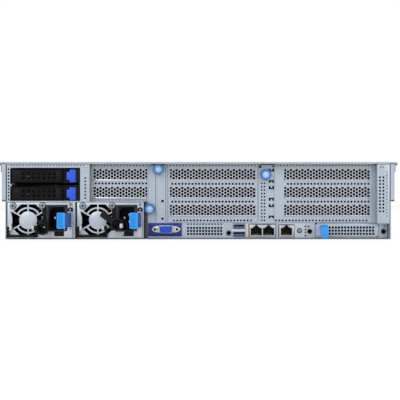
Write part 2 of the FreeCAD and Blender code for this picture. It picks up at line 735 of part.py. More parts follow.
def clamp(index, mid):
    """Nylon cord clamp: plug, band and open ring, with a free tail below the ring."""
    tag = "_%d" % index
    root, ring = CLAMPS[index]
    length = math.hypot(ring[0] - root[0], ring[1] - root[1])
    lean = math.degrees(math.atan2(ring[1] - root[1], ring[0] - root[0]))
    plug = rod("clamp_plug" + tag, "2.4", "10", (mid + " + %s" % root[0], "back - 10", "psu_mid + %s" % root[1]), "y")
    band = Part.makeBox(length, 1.4, 4.4, FreeCAD.Vector(0, 0, -2.2))
    strap = fixed("clamp_strap" + tag, band, mid + " + %s" % root[0], "back - 10", "psu_mid + %s" % root[1],
                  FreeCAD.Rotation(FreeCAD.Vector(0, 1, 0), -lean))
    hoop = cut("clamp_hoop" + tag,
               prism("clamp_outer" + tag, 16, "clamp_ring", "clamp_band",
                   (mid + " + %s" % ring[0], "back - 8.6 - clamp_band", "psu_mid + %s" % ring[1]), "y"),
               prism("clamp_inner" + tag, 16, "clamp_ring - clamp_wall", "clamp_band + 2",
                   (mid + " + %s" % ring[0], "back - 9.6 - clamp_band", "psu_mid + %s" % ring[1]), "y"))
    middle = prism("clamp_clear" + tag, 16, "clamp_ring - clamp_wall", "6",
                 (mid + " + %s" % ring[0], "back - 13", "psu_mid + %s" % ring[1]), "y")
    keep("psu_clamp" + tag, fuse("clamp_all" + tag, plug, cut("clamp_band" + tag, strap, middle), hoop))


# Rear drive bays

def rear_drive_cage():
    """Open cage with a middle shelf, side runners and folded rear flanges."""
    long = ("back", "carrier_length + 16")
    left = "bay_left - cage_gauge"
    right = "bay_left + bay_width"
    parts = [block("bay_bottom", (left, "bay_width + 2 * cage_gauge"), long, ("shelf_top", "cage_gauge")),
             block("bay_top", (left, "bay_width + 2 * cage_gauge"), long,
                   ("shelf_top + cage_height - cage_gauge", "cage_gauge")),
             block("bay_left_wall", (left, "cage_gauge"), long, ("shelf_top", "cage_height")),
             block("bay_right_wall", (right, "cage_gauge"), long, ("shelf_top", "cage_height")),
             block("bay_left_flange", (left + " - 3", "3"), ("back", "cage_gauge"), ("shelf_top", "cage_height")),
             block("bay_right_flange", (right, "10.6"), ("back", "cage_gauge"), ("shelf_top", "cage_height")),
             block("bay_end", (left, "bay_width + 2 * cage_gauge"),
                   ("back + carrier_length + 15", "1"), ("shelf_top", "cage_height"))]
    for name, start in (("bay_runner_left", "bay_left"), ("bay_runner_right", right + " - 2.4")):
        parts.append(block(name, (start, "2.4"), ("back + 8", "carrier_length + 7"),
                           ("bay_floor + carrier_pitch - seat_gap - 0.8", "0.8")))
    keep("rear_drive_cage", fuse("bay_all", *parts))


def rear_carrier(index, floor):
    """Drive carrier with its hinge ledges and pin, the drive in it, the lever and the latch."""
    tag = "_%d" % index
    left = "bay_left + carrier_gap"
    wide = "bay_width - 2 * carrier_gap"
    right = left + " + " + wide
    axis_x = left + " + barrel_radius + 0.6"
    axis_y = "back + lever_thickness - 1"
    plate = block("carrier_plate" + tag, (left, wide), ("back + 6.5", "1.6"), (floor, "carrier_height"))
    grid = []
    for step in range(6):
        grid.append(block("carrier_vent_%d%s" % (step, tag), (left + " + 12 + %d * 7.4" % step, "4.6"),
                          ("back + 6", "3"), (floor + " + 3.4", "carrier_height - 6.8")))
    vented = cut("carrier_vented" + tag, plate, *grid)
    parts = [vented,
             block("carrier_post" + tag, (right + " - 4.2", "4.2"), ("back", "7"), (floor, "carrier_height")),
             block("carrier_low_tab" + tag, (left, "6"), ("back + 0.6", "7"), (floor, "0.5")),
             block("carrier_high_tab" + tag, (left, "6"), ("back + 0.6", "7"), (floor + " + carrier_height - 0.5", "0.5")),
             rod("carrier_pin" + tag, "pin_radius", "carrier_height", (axis_x, axis_y, floor), "z"),
             block("carrier_tray" + tag, (left, wide), ("back + 7", "carrier_length - 7"), (floor, "0.8")),
             block("carrier_rail_left" + tag, (left, "1.2"), ("back + 7", "carrier_length - 7"), (floor, "9")),
             block("carrier_rail_right" + tag, (right + " - 1.2", "1.2"), ("back + 7", "carrier_length - 7"),
                   (floor, "9")),
             block("carrier_guide_low" + tag, (right + " - 15", "11"), ("back + 5.4", "1.4"), (floor + " + 1.6", "1.2")),
             block("carrier_guide_high" + tag, (right + " - 15", "11"), ("back + 5.4", "1.4"),
                   (floor + " + carrier_height - 2.8", "1.2"))]
    drive = block("drive_block" + tag, (left + " + (%s - drive_width) / 2" % wide, "drive_width"),
                  ("back + carrier_length - drive_length - 1", "drive_length"), (floor + " + 0.8", "drive_height"))
    keep("rear_carrier" + tag, group("carrier_all" + tag, fuse("carrier_form" + tag, *parts), drive))

    low = floor + " + 0.8"
    tall = "carrier_height - 1.6"
    body = block("lever_body" + tag, (axis_x, "lever_length"), ("back + 0.8", "lever_thickness"), (low, tall))
    knuckle = rod("lever_knuckle" + tag, "barrel_radius", tall, (axis_x, axis_y, low), "z")
    slots = [rod("lever_bore" + tag, "pin_radius + fit", "carrier_height", (axis_x, axis_y, floor), "z")]
    for row in range(2):
        for step in range(7):
            slots.append(block("lever_slot_%d_%d%s" % (row, step, tag),
                               (axis_x + " + 12.5 + %d * 5.3" % step, "3.6"), ("back", "8"),
                               (floor + " + carrier_height / 2 - 4.6 + %d * 5.2" % row, "4")))
    keep("rear_lever" + tag, cut("lever_all" + tag, fuse("lever_form" + tag, body, knuckle), *slots))

    edge = right + " - 4.5"
    wing = block("button_wing" + tag, (edge + " - button_width", "button_width"), ("back + 0.8", "4.4"),
                 (floor + " + carrier_height / 2 - 4.1", "8.2"))
    post = block("button_post" + tag, (edge + " - 5.8", "5.8"), ("back + 0.8", "4.4"),
                 (floor + " + 0.9", "carrier_height - 1.8"))
    keep("rear_latch" + tag, fuse("button_all" + tag, wing, post))


# Ports

def ports():
    """VGA, USB and network sockets, the ID button and the network card in its tray."""
    plate = block("vga_plate", ("-57", "38.4"), ("panel_y - 0.8", "0.8"), ("2.8", "15.2"))
    body = block("vga_body", ("-52.3", "31.6"), ("panel_y - 0.4", "io_depth + 0.4"), ("4.9", "11.8"))
    shell = [("-28.5", "14.9"), ("-44.5", "14.9"), ("-43.1", "6.7"), ("-29.9", "6.7")]
    inner = [("-29.5", "14.1"), ("-43.5", "14.1"), ("-42.4", "7.5"), ("-30.6", "7.5")]
    collar = cut("vga_collar", padded("vga_shell", "XZ_Plane", "-panel_y", "6", shell),
                 padded("vga_mouth", "XZ_Plane", "-(panel_y - 1)", "6", inner))
    lugs = []
    for name, across in (("left", "-49"), ("right", "-24")):
        nut = prism("vga_nut_" + name, 6, "3", "5", (across, "panel_y - 5.4", "10.8"), "y")
        thread = rod("vga_thread_" + name, "1.35", "5", (across, "panel_y - 6", "10.8"), "y")
        lugs.append(cut("vga_lug_" + name, nut, thread))
    keep("vga_port", fuse("vga_all", plate, body, collar, *lugs))

    can = block("usb_can", ("40", "13.6"), ("panel_y - 0.8", "io_depth + 0.8"), ("2", "15.1"))
    mouths = [block("usb_mouth_%d" % row, ("40.6", "12.4"), ("panel_y - 1", "13"), ("2.6 + %d * 8.6" % row, "5.2"))
              for row in range(2)]
    tongues = [block("usb_tongue_%d" % row, ("41.4", "10.8"), ("panel_y + 1", "12"),
                     ("5.4 + %d * 8.6" % row, "1.8")) for row in range(2)]
    keep("usb_ports", fuse("usb_all", cut("usb_hollow", can, *mouths), *tongues))

    keep("network_ports", group("network_all", socket_shell("lan", "58.4", "29.6", ("60.2", "74.2"), "14.2"),
                                socket_shell("management", "92.3", "16.6", ("94.5",), "13.4")))
    cap = rod("id_cap", "id_radius", "io_depth - 4", ("115.6", "panel_y - id_travel - 0.4", "9.3"), "y")
    keep("id_button", cap)
    network_card()


def socket_shell(name, left, wide, mouths, tall):
    """Shell round one or two eight-way sockets, each with the notch for the plug's clip."""
    shell = block(name + "_shell", (left, wide), ("panel_y - 0.8", "io_depth + 0.8"), ("2", tall))
    tools = []
    for index, across in enumerate(mouths):
        tools.append(block("%s_mouth_%d" % (name, index), (across, "12.2"), ("panel_y - 1", "15"), ("4.4", "8.4")))
        tools.append(block("%s_notch_%d" % (name, index), (across + " + 3.1", "6"), ("panel_y - 1", "15"),
                           ("3", "2")))
    return cut(name + "_socket", shell, *tools)


def network_card():
    """Card on a pull-out tray: vented face, board, two sockets and a blue pull tab."""
    low = "1.0 + gauge"
    face = block("card_face", ("card_left", "card_width"), ("panel_y - 0.6", "1.4"), (low, "card_height"))
    vents = [block("card_vent_%d" % step, ("card_left + 17 + %d * 8.6" % step, "5.6"), ("panel_y - 2", "4"),
                   (low + " + 4.6", "6.4")) for step in range(6)]
    board = block("card_board", ("card_left + 1.5", "card_width - 3"), ("panel_y", "card_length"), (low, "1.6"))
    chip = block("card_chip", ("card_left + 22", "28"), ("panel_y + 40", "28"), (low + " + 1.6", "8"))
    neck = block("tab_neck", ("card_left + 6", "tab_width"), ("panel_y - 0.6 - tab_reach", "tab_reach"),
                 (low + " + 8", "2"))
    grip = block("tab_grip", ("card_left + 6", "tab_width"), ("panel_y - 0.6 - tab_reach", "1.6"),
                 (low + " - 0.6", "13.6"))
    tray = fuse("card_all", cut("card_face_cut", face, *vents), board, chip)
    keep("network_card", group("card_group", tray, fuse("card_tab", neck, grip)))


# Inside

def main_board():
    """Board with a step beside the power supplies and a notch for the network card."""
    near = "panel_y + io_depth"
    far = near + " + board_length"
    notch = "card_left - 2"
    points = [("panel_left - 1", near), (notch, near), (notch, near + " + 110"), ("side - 4", near + " + 110"),
              ("side - 4", far), ("4 - side", far), ("4 - side", "back + psu_length + 18"),
              ("panel_left - 1", "back + psu_length + 18")]
    keep("main_board", padded("board_plate", "XY_Plane", "board_z", "board_gauge", points))


def heatsinks():
    """Two finned processor coolers."""
    items = []
    wide = number("sink_width")
    tall = number("sink_height")
    fin = number("fin_gauge")
    count = 13
    step = (wide - fin) / (count - 1)
    for name, side in (("left", "-"), ("right", "")):
        spots = [FreeCAD.Vector(-wide / 2, 0, 0), FreeCAD.Vector(wide / 2, 0, 0)]
        for index in reversed(range(count)):
            start = -wide / 2 + index * step
            spots += [FreeCAD.Vector(start + fin, 0, tall), FreeCAD.Vector(start, 0, tall)]
            if index:
                spots += [FreeCAD.Vector(start, 0, 6), FreeCAD.Vector(start - step + fin, 0, 6)]
        comb = Part.Face(Part.makePolygon(spots + [spots[0]])).extrude(FreeCAD.Vector(0, number("sink_length"), 0))
        items.append(fixed("sink_" + name, comb, side + "sink_offset", "panel_y + io_depth + 222", "board_top"))
    keep("heatsinks", group("sink_pair", *items))


def memory_modules():
    """Sixteen modules in their sockets, four beside each face of each cooler."""
    items = []
    reach = "(sink_width / 2 + 6 + %d * module_pitch)"
    for bank, (side, turn) in enumerate((("-sink_offset", -1), ("-sink_offset", 1),
                                         ("sink_offset", -1), ("sink_offset", 1))):
        for index in range(4):
            centre = "%s + %d * %s" % (side, turn, reach % index)
            along = "panel_y + io_depth + 222 + (sink_length - module_length) / 2"
            base = block("socket_%d_%d" % (bank, index), (centre + " - 3.2", "6.4"),
                         (along + " - 4", "module_length + 8"), ("board_top", "8"))
            card = block("module_%d_%d" % (bank, index), (centre + " - 1.9", "3.8"), (along, "module_length"),
                         ("board_top + 3", "module_height"))
            items.append(fuse("memory_%d_%d" % (bank, index), base, card))
    keep("memory_modules", group("memory_all", *items))


def air_duct():
    """Plastic duct over the coolers, with a dividing rib."""
    reach = "(side - 6)"
    half = [(reach, "board_top"), (reach, "board_top + duct_height"), ("-%s" % reach, "board_top + duct_height"),
            ("-%s" % reach, "board_top"), ("-%s + duct_gauge" % reach, "board_top"),
            ("-%s + duct_gauge" % reach, "board_top + duct_height - duct_gauge"),
            ("-duct_gauge", "board_top + duct_height - duct_gauge"), ("-duct_gauge", "board_top + 20"),
            ("duct_gauge", "board_top + 20"), ("duct_gauge", "board_top + duct_height - duct_gauge"),
            ("%s - duct_gauge" % reach, "board_top + duct_height - duct_gauge"),
            ("%s - duct_gauge" % reach, "board_top")]
    keep("air_duct", padded("duct_shell", "XZ_Plane", "-(panel_y + io_depth + 206 + duct_length)",
                            "duct_length", half))


def system_fans():
    """Bracket with four fan frames, and an impeller on each frame's shaft."""
    tall = "fan_size"
    parts = [block("fan_base", ("gauge - side + 1", "2 * (side - gauge - 1)"), ("fan_y - 4", "fan_depth + 8"),
                   ("gauge", "cage_gauge"))]
    for index in range(4):
        centre = "%s * fan_spacing" % (index - 1.5)
        axis_z = "gauge + cage_gauge + fan_size / 2"
        frame = block("fan_frame_%d" % index, (centre + " - fan_size / 2", "fan_size"), ("fan_y", "fan_depth"),
                      ("gauge + cage_gauge", tall))
        bore = prism("fan_bore_%d" % index, 28, "fan_bore", "fan_depth + 2", (centre, "fan_y - 1", axis_z), "y")
        parts.append(cut("fan_ring_%d" % index, frame, bore))
        parts.append(prism("fan_boss_%d" % index, 8, "fan_hub - 1", "3", (centre, "fan_y", axis_z), "y"))
        parts.append(rod("fan_shaft_%d" % index, "2", "16", (centre, "fan_y + 2", axis_z), "y"))
        parts.append(block("fan_strut_flat_%d" % index, (centre + " - fan_bore - 0.6", "2 * fan_bore + 1.2"),
                           ("fan_y", "2.4"), (axis_z + " - 2", "4")))
        parts.append(block("fan_strut_tall_%d" % index, (centre + " - 2", "4"), ("fan_y", "2.4"),
                           (axis_z + " - fan_bore - 0.6", "2 * fan_bore + 1.2")))
    keep("fan_bracket", fuse("fan_frames", *parts))
    for index in range(4):
        wheel = impeller(number("fan_hub"), number("fan_bore") - 1.4, 28.0, 2 + number("fit"), 25.0, 7)
        spin = fixed("fan_wheel_big_%d" % index, wheel, "%s * fan_spacing" % (index - 1.5), "fan_y + 4 + 28",
                     "gauge + cage_gauge + fan_size / 2", FreeCAD.Rotation(FreeCAD.Vector(1, 0, 0), 90))
        keep("system_fan_%d" % (index + 1), spin)


# Front

def front_drive_cage():
    """Two rows of four drive bays under a vented upper panel, with the backplane behind."""
    long = ("cage_back", "front_bay_length - 0.8")
    across = ("cage_left", "4 * front_bay_width + cage_gauge")
    parts = []
    for row in range(3):
        parts.append(block("front_shelf_%d" % row, across, long, ("gauge + %d * front_bay_height" % row, "cage_gauge")))
    for column in range(5):
        parts.append(block("front_wall_%d" % column, ("cage_left + %d * front_bay_width" % column, "cage_gauge"),
                           long, ("gauge", "2 * front_bay_height")))
    upper = block("upper_panel", across, ("front - 1.8", "1"), ("bays_top - 0.4", "wall_top - 0.6 - bays_top"))
    slots = [block("upper_slot_%d" % step, ("cage_left + 14 + %d * 25" % step, "18"), ("front - 4", "6"),
                   ("bays_top + 6", "14")) for step in range(16)]
    parts.append(cut("upper_vented", upper, *slots))
    cage = fuse("front_cage", *parts)
    plane = block("backplane", ("cage_left", "4 * front_bay_width"), ("cage_back - 2.2", "2.2"),
                  ("gauge", "bays_top - gauge - 3"))
    keep("front_drive_cage", group("front_cage_all", cage, plane))


def front_carrier(index):
    """Front carrier: bezel with its closed lever and release button, side rails and the drive."""
    tag = "_%d" % index
    column = (index - 1) % 4
    row = (index - 1) // 4
    left = "cage_left + %d * front_bay_width + cage_gauge + front_carrier_gap" % column
    wide = "front_bay_width - cage_gauge - 2 * front_carrier_gap"
    low = "gauge + %d * front_bay_height + cage_gauge + seat_gap" % row
    tall = "front_bay_height - cage_gauge - 2 * seat_gap"
    bezel = block("bezel" + tag, (left, wide), ("front - 1 - bezel_depth + 3", "bezel_depth"), (low, tall))
    tools = [block("bezel_button" + tag, (left + " + 4", "14"), ("front", "4"), (low + " + 6", tall + " - 12")),
             block("bezel_seam" + tag, (left + " + 21", "1.2"), ("front - 2", "6"), (low + " - 1", tall + " + 2"))]
    for step in range(6):
        tools.append(block("bezel_slot_%d%s" % (step, tag), (left + " + 28 + %d * 11.6" % step, "8.4"),
                           ("front - 12", "16"), (low + " + 5", tall + " - 10")))
    face = cut("bezel_cut" + tag, bezel, *tools)
    rails = [block("front_rail_left" + tag, (left, "1.2"), ("cage_back + 6", "front_bay_length - 12"), (low, "20")),
             block("front_rail_right" + tag, (left + " + " + wide + " - 1.2", "1.2"),
                   ("cage_back + 6", "front_bay_length - 12"), (low, "20"))]
    drive = block("front_drive" + tag, (left + " + 1.2", wide + " - 2.4"),
                  ("cage_back + 6", "front_drive_length"), (low, "25"))
    keep("front_carrier" + tag, group("front_carrier_all" + tag, fuse("front_form" + tag, face, *rails), drive))


def ears():
    """Rack ears: flange on the side wall, wing with its slots, and the front housing."""
    for name, turn in (("left", -1), ("right", 1)):
        def span(start, length):
            """A stretch away from the middle, on this ear's side."""
            return (start, length) if turn > 0 else ("-(%s) - (%s)" % (start, length), length)
        flange = block(name + "_flange", span("side", "ear_gauge"), ("front - 70", "70"), ("4", "skirt_height - 8"))
        wing = block(name + "_wing", span("side", "ear_span / 2 - side"), ("front", "ear_gauge"),
                     ("0.6", "height - 1.2"))
        housing = block(name + "_housing", span("side + 1.5", "ear_span / 2 - side - 2.5"),
                        ("front + ear_gauge - 0.5", "ear_reach - ear_gauge + 0.5"), ("17", "height - 34"))
        tools = []
        for level in ("ear_hole_z", "height - ear_hole_z"):
            width = "(ear_slot_width - ear_slot_height)"
            tools.append(block("%s_slot_%s" % (name, level[:3]),
                               span("ear_hole_x - %s / 2" % width, width), ("front - 1", "6"),
                               (level + " - ear_slot_height / 2", "ear_slot_height")))
            for end, sign in (("near", "-"), ("far", "+")):
                across = "ear_hole_x %s %s / 2" % (sign, width)
                tools.append(rod("%s_slot_%s_%s" % (name, end, level[:3]), "ear_slot_height / 2", "6",
                                 (across if turn > 0 else "-(%s)" % across, "front - 1", level), "y"))
        grip = block(name + "_grip", span("side + 6", "ear_span / 2 - side - 11"),
                     ("front + ear_reach - 6", "7"), ("24", "14"))
        tools.append(grip)
        if turn > 0:
            tools.append(rod("power_well", "power_radius + seat_gap", "10",
                             ("ear_hole_x - 2", "front + ear_reach - 9", "56"), "y"))
        keep(name + "_ear", cut(name + "_ear_all", fuse(name + "_ear_blank", flange, wing, housing), *tools))
    keep("power_button", rod("power_cap", "power_radius", "7",
                             ("ear_hole_x - 2", "front + ear_reach - 7.4", "56"), "y"))


def build():
    """Make every sub-part."""
    chassis_tray()
    covers()
    rear_panel()
    thumbscrews()
    expansion_slots()
    psu_cage()
    power_supply(1, "psu_left")
    power_supply(2, "psu_left + psu_pitch")
    rear_drive_cage()
    rear_carrier(1, "bay_floor + carrier_pitch")
    rear_carrier(2, "bay_floor")
    ports()
    main_board()
    heatsinks()
    memory_modules()
    air_duct()
    system_fans()
    front_drive_cage()
    for index in range(1, 9):
        front_carrier(index)
    ears()


def write_files():
    """Check every object and shape, then write one file for each sub-part."""
    doc.recompute()
    for item in doc.Objects:
        if "Invalid" in item.State or "Error" in item.State:
            raise RuntimeError("%s could not be made" % item.Label)
    os.makedirs("parts", exist_ok=True)
    for item in pieces:
        if item.Shape.isNull() or not item.Shape.isValid() or not item.Shape.Solids:
            raise RuntimeError("%s has no valid solid" % item.Label)
        item.Shape.exportStep("parts/%s.step" % item.Label)


build()
write_files()
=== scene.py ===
"""Two-unit rack server, seen from behind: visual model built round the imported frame."""

import json
import math

import bpy
from mathutils import Matrix, Vector

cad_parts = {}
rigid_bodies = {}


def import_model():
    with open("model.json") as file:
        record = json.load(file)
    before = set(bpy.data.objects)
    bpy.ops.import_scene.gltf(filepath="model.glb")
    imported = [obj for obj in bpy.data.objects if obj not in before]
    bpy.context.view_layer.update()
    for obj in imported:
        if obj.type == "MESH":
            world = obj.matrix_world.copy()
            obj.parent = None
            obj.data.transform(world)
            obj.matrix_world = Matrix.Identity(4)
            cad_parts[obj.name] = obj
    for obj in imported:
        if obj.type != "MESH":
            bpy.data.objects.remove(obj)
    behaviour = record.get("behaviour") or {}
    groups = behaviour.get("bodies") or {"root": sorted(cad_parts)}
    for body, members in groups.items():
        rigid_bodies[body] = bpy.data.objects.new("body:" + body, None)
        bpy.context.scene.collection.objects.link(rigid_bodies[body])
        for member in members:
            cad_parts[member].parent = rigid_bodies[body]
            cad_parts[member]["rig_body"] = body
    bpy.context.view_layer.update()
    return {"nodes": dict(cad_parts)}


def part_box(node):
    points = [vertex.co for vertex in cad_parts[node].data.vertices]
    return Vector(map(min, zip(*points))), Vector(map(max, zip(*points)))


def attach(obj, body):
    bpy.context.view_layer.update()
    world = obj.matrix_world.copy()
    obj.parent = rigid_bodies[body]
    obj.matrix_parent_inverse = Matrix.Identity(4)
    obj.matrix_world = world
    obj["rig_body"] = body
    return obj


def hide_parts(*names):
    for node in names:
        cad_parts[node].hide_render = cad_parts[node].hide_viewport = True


bl_info = {
    "name": "Rack server, two units",
    "version": (1, 0, 0),
    "blender": (4, 5, 0),
    "location": "View3D > Sidebar > Server",
    "description": "Models the rear, the drives and the covers of a two-unit rack server",
    "category": "Add Mesh",
}

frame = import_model()
MM = 0.001
NODES = frame["nodes"]
BODY_OF = {node: obj["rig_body"] for node, obj in NODES.items()}


# Colours and values


def linear(code):
    """An sRGB hex colour as the linear red, green and blue that Blender works in."""
    parts = [int(code[i : i + 2], 16) / 255 for i in (1, 3, 5)]
    return tuple(c / 12.92 if c <= 0.04045 else ((c + 0.055) / 1.055) ** 2.4 for c in parts)


def length(name, default, description):
    """A length property, with its default in millimetres."""
    return bpy.props.FloatProperty(
        name=name, description=description, default=default * MM, unit="LENGTH", precision=5
    )


def tint(name, default, description):
    """A colour property, with its default as an sRGB hex value."""
    return bpy.props.FloatVectorProperty(
        name=name, description=description, default=linear(default), subtype="COLOR", size=3, min=0, max=1
    )


class RackSizes(bpy.types.PropertyGroup):
    hole_radius: length("Vent hole radius", 1.6, "Radius of a round hole in a slot cover")
    hole_column: length("Vent hole columns", 3.27, "Distance between two columns of holes in a slot cover")
    hole_row: length("Vent hole rows", 3.7, "Distance between two holes of a column in a slot cover")
    dot_radius: length("Small hole radius", 0.84, "Radius of the small holes in the riser frames")
    dot_pitch: length("Small hole pitch", 3.82, "Distance between the small holes in the riser frames")
    panel_thickness: length("Panel thickness", 1.0, "Thickness of the steel of the rear panel")
    lip: length("Cover lip", 1.3, "Height of the bright lip under each slot cover")
    knob_radius: length("Thumbscrew radius", 6.3, "Radius of a captive thumbscrew")


class RackColours(bpy.types.PropertyGroup):
    zinc: tint("Zinc-plated steel", "#A9B3BF", "Rear panel, riser frames and tray")
    zinc_bright: tint("Bright zinc", "#B9BFC9", "Slot covers, lips and power supply faces")
    black: tint("Black moulding", "#0D0D10", "Drive levers, handles and clamps")
    drive_blue: tint("Drive latch blue", "#2450D4", "Release latches of the rear drives")
    azure: tint("Release blue", "#1C96F0", "Release latches of the power supplies and the card tab")
    knob_blue: tint("Thumbscrew ring", "#3E70AC", "Knurled ring of a thumbscrew")
    knob_face: tint("Thumbscrew face", "#9CC3EE", "Pale face of a thumbscrew")
    vga: tint("Video port blue", "#18257C", "Plate of the video port")
    board: tint("Solder mask", "#1F5B3C", "Boards inside")


# Modelling helpers; places are in millimetres in the frame's axes, with Y into the server


def ready():
    """Leaves edit mode and deselects everything, so that the next tool acts on new work alone."""
    if bpy.context.object and bpy.context.object.mode != "OBJECT":
        bpy.ops.object.mode_set(mode="OBJECT")
    bpy.ops.object.select_all(action="DESELECT")


def hold(*items):
    """Selects these objects alone; the first is active."""
    ready()
    for item in items:
        item.select_set(True)
    bpy.context.view_layer.objects.active = items[0]
    return items[0]


def settle(obj):
    """Puts an object's place, turn and scale into its mesh."""
    hold(obj)
    bpy.ops.object.transform_apply(location=True, rotation=True, scale=True)
    return obj


def apply(obj, kind, **values):
    """Adds a modifier with these values and applies it."""
    hold(obj)
    made = obj.modifiers.new(kind.title(), kind)
    for name, value in values.items():
        setattr(made, name, value)
    bpy.ops.object.modifier_apply(modifier=made.name)
    return obj


def soften(obj, width, segments=2, angle=40):
    """Rounds the edges that are sharper than the angle."""
    return apply(
        obj,
        "BEVEL",
        width=width * MM,
        segments=segments,
        limit_method="ANGLE",
        angle_limit=math.radians(angle),
        use_clamp_overlap=True,
    )


def block(low, high, round_by=0.0, segments=2):
    """A cuboid from its lowest to its highest corner, with rounded edges."""
    ready()
    bpy.ops.mesh.primitive_cube_add(size=1, location=[(a + b) / 2 * MM for a, b in zip(low, high)])
    obj = bpy.context.object
    obj.scale = [(b - a) * MM for a, b in zip(low, high)]
    settle(obj)
    return soften(obj, round_by, segments) if round_by else obj


TURNS = {"X": (0, math.pi / 2, 0), "Y": (math.pi / 2, 0, 0), "Z": (0, 0, 0)}


def rod(centre, radius, depth, axis="Y", sides=32, far=None):
    """A cylinder, or a cone where its far radius is given, by the centre of its length."""
    ready()
    bpy.ops.mesh.primitive_cone_add(
        vertices=sides,
        radius1=radius * MM,
        radius2=(radius if far is None else far) * MM,
        depth=depth * MM,
        location=[c * MM for c in centre],
        rotation=TURNS[axis],
    )
    return settle(bpy.context.object)


def turn(obj, degrees, axis, about):
    """Turns the mesh about a line through a point."""
    place = Matrix.Translation(Vector(about) * MM)
    obj.data.transform(place @ Matrix.Rotation(math.radians(degrees), 4, axis) @ place.inverted())
    return obj


def move(obj, step):
    """Moves the mesh by a step."""
    obj.data.transform(Matrix.Translation(Vector(step) * MM))
    return obj


def profile(points, start, end, axis="Y", round_by=0.0, segments=2):
    """A bar along an axis: a flat disc with as many corners as the outline, each put in its place, then extruded.
    The points are (x, z) for axis Y, (x, y) for Z and (y, z) for X."""
    ready()
    bpy.ops.mesh.primitive_circle_add(vertices=len(points), radius=MM, fill_type="NGON")
    obj = bpy.context.object
    spots = {"Y": lambda a, b: (a, start, b), "Z": lambda a, b: (a, b, start), "X": lambda a, b: (start, a, b)}
    for vertex, point in zip(obj.data.vertices, points):
        vertex.co = Vector(spots[axis](*point)) * MM
    step = Vector({"Y": (0, 1, 0), "Z": (0, 0, 1), "X": (1, 0, 0)}[axis]) * (end - start) * MM
    settle(obj)
    bpy.ops.object.mode_set(mode="EDIT")
    bpy.ops.mesh.select_all(action="SELECT")
    bpy.ops.mesh.extrude_region_move(TRANSFORM_OT_translate={"value": step})
    bpy.ops.mesh.select_all(action="SELECT")
    bpy.ops.mesh.normals_make_consistent(inside=False)
    ready()
    return soften(obj, round_by, segments) if round_by else obj


def join(*items):
    """Joins objects into the first."""
    if len(items) > 1:
        hold(*items)
        bpy.ops.object.join()
    return items[0]


def copy(obj, step=(0, 0, 0)):
    """A copy with its own mesh, moved by a step."""
    made = obj.copy()
    made.data = obj.data.copy()
    bpy.context.scene.collection.objects.link(made)
    return move(made, step)


def repeat(obj, count, step):
    """Repeats a shape along a step, in one mesh."""
    if count < 2:
        return obj
    return apply(
        obj,
        "ARRAY",
        count=count,
        use_relative_offset=False,
        use_constant_offset=True,
        constant_offset_displace=[s * MM for s in step],
    )


def around(obj, count, x, z):
    """Copies of a shape, turned evenly about an axis along Y; the shape itself goes."""
    made = [turn(copy(obj), step * 360 / count, "Y", (x, 0, z)) for step in range(count)]
    bpy.data.objects.remove(obj)
    return made


def carve(obj, *cutters, crossing=False):
    """Cuts these shapes out of the object; crossing says that they overlap each other."""
    cutter = join(*cutters)
    apply(obj, "BOOLEAN", operation="DIFFERENCE", object=cutter, solver="EXACT", use_self=crossing)
    bpy.data.objects.remove(cutter)
    return obj


def choose(obj, test):
    """Goes to edit mode with the faces selected whose centre and normal pass the test."""
    hold(obj)
    bpy.ops.object.mode_set(mode="EDIT")
    bpy.ops.mesh.select_mode(type="FACE")
    bpy.ops.mesh.select_all(action="DESELECT")
    bpy.ops.object.mode_set(mode="OBJECT")
    for face in obj.data.polygons:
        face.select = bool(test(face.center / MM, face.normal))
    bpy.ops.object.mode_set(mode="EDIT")


def sink(obj, test, inset, depth):
    """Insets the chosen faces and moves what is left along their normal, inwards where depth is negative."""
    choose(obj, test)
    bpy.ops.mesh.inset(thickness=inset * MM, depth=0)
    bpy.ops.mesh.inset(thickness=0, depth=depth * MM)
    ready()
    return obj


def facing_back(centre, normal):
    """True for a face that looks towards the back of the server."""
    return normal.y < -0.99


def comb(x, z, count, step, radius, near, far, sides=12):
    """A row of round cutters along X or Z, from near to far along Y."""
    pin = rod((x, (near + far) / 2, z), radius, abs(far - near), "Y", sides)
    return repeat(pin, count, step)


def paint(obj, finish):
    """Gives a shape its finish before it is joined to others."""
    obj.data.materials.clear()
    obj.data.materials.append(MATERIALS[finish])
    return obj


def piece(name, finish, carrier, *items, slot=None, instead_of=()):
    """Joins shapes into one named piece that rides on a node's body and takes the place of the nodes named."""
    for item in items:
        if not item.data.materials:
            item.data.materials.append(MATERIALS[finish])
    obj = join(*items)
    obj.name = name
    obj.data.name = name
    hold(obj)
    bpy.ops.object.shade_smooth_by_angle(angle=math.radians(35))
    ready()
    body = BODY_OF.get(carrier, carrier)
    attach(obj, body)
    if instead_of:
        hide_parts(*instead_of)
    return obj


# Materials


def add(tree, kind, inputs=None, **settings):
    """Adds a node with its settings; an input is a value or another node's output."""
    made = tree.nodes.new(kind)
    for name, value in settings.items():
        setattr(made, name, value)
    for name, value in (inputs or {}).items():
        if isinstance(value, bpy.types.NodeSocket):
            tree.links.new(value, made.inputs[name])
        else:
            made.inputs[name].default_value = value
    return made


MATERIALS = {}


def surface(name, **values):
    """A new material whose whole-surface values are set on the shader's own sockets; returns its tree and shader."""
    made = bpy.data.materials.new(name)
    made.use_nodes = True
    tree = made.node_tree
    shader = tree.nodes["Principled BSDF"]
    for socket, value in values.items():
        shader.inputs[socket.replace("_", " ")].default_value = value
    MATERIALS[name] = made
    return tree, shader


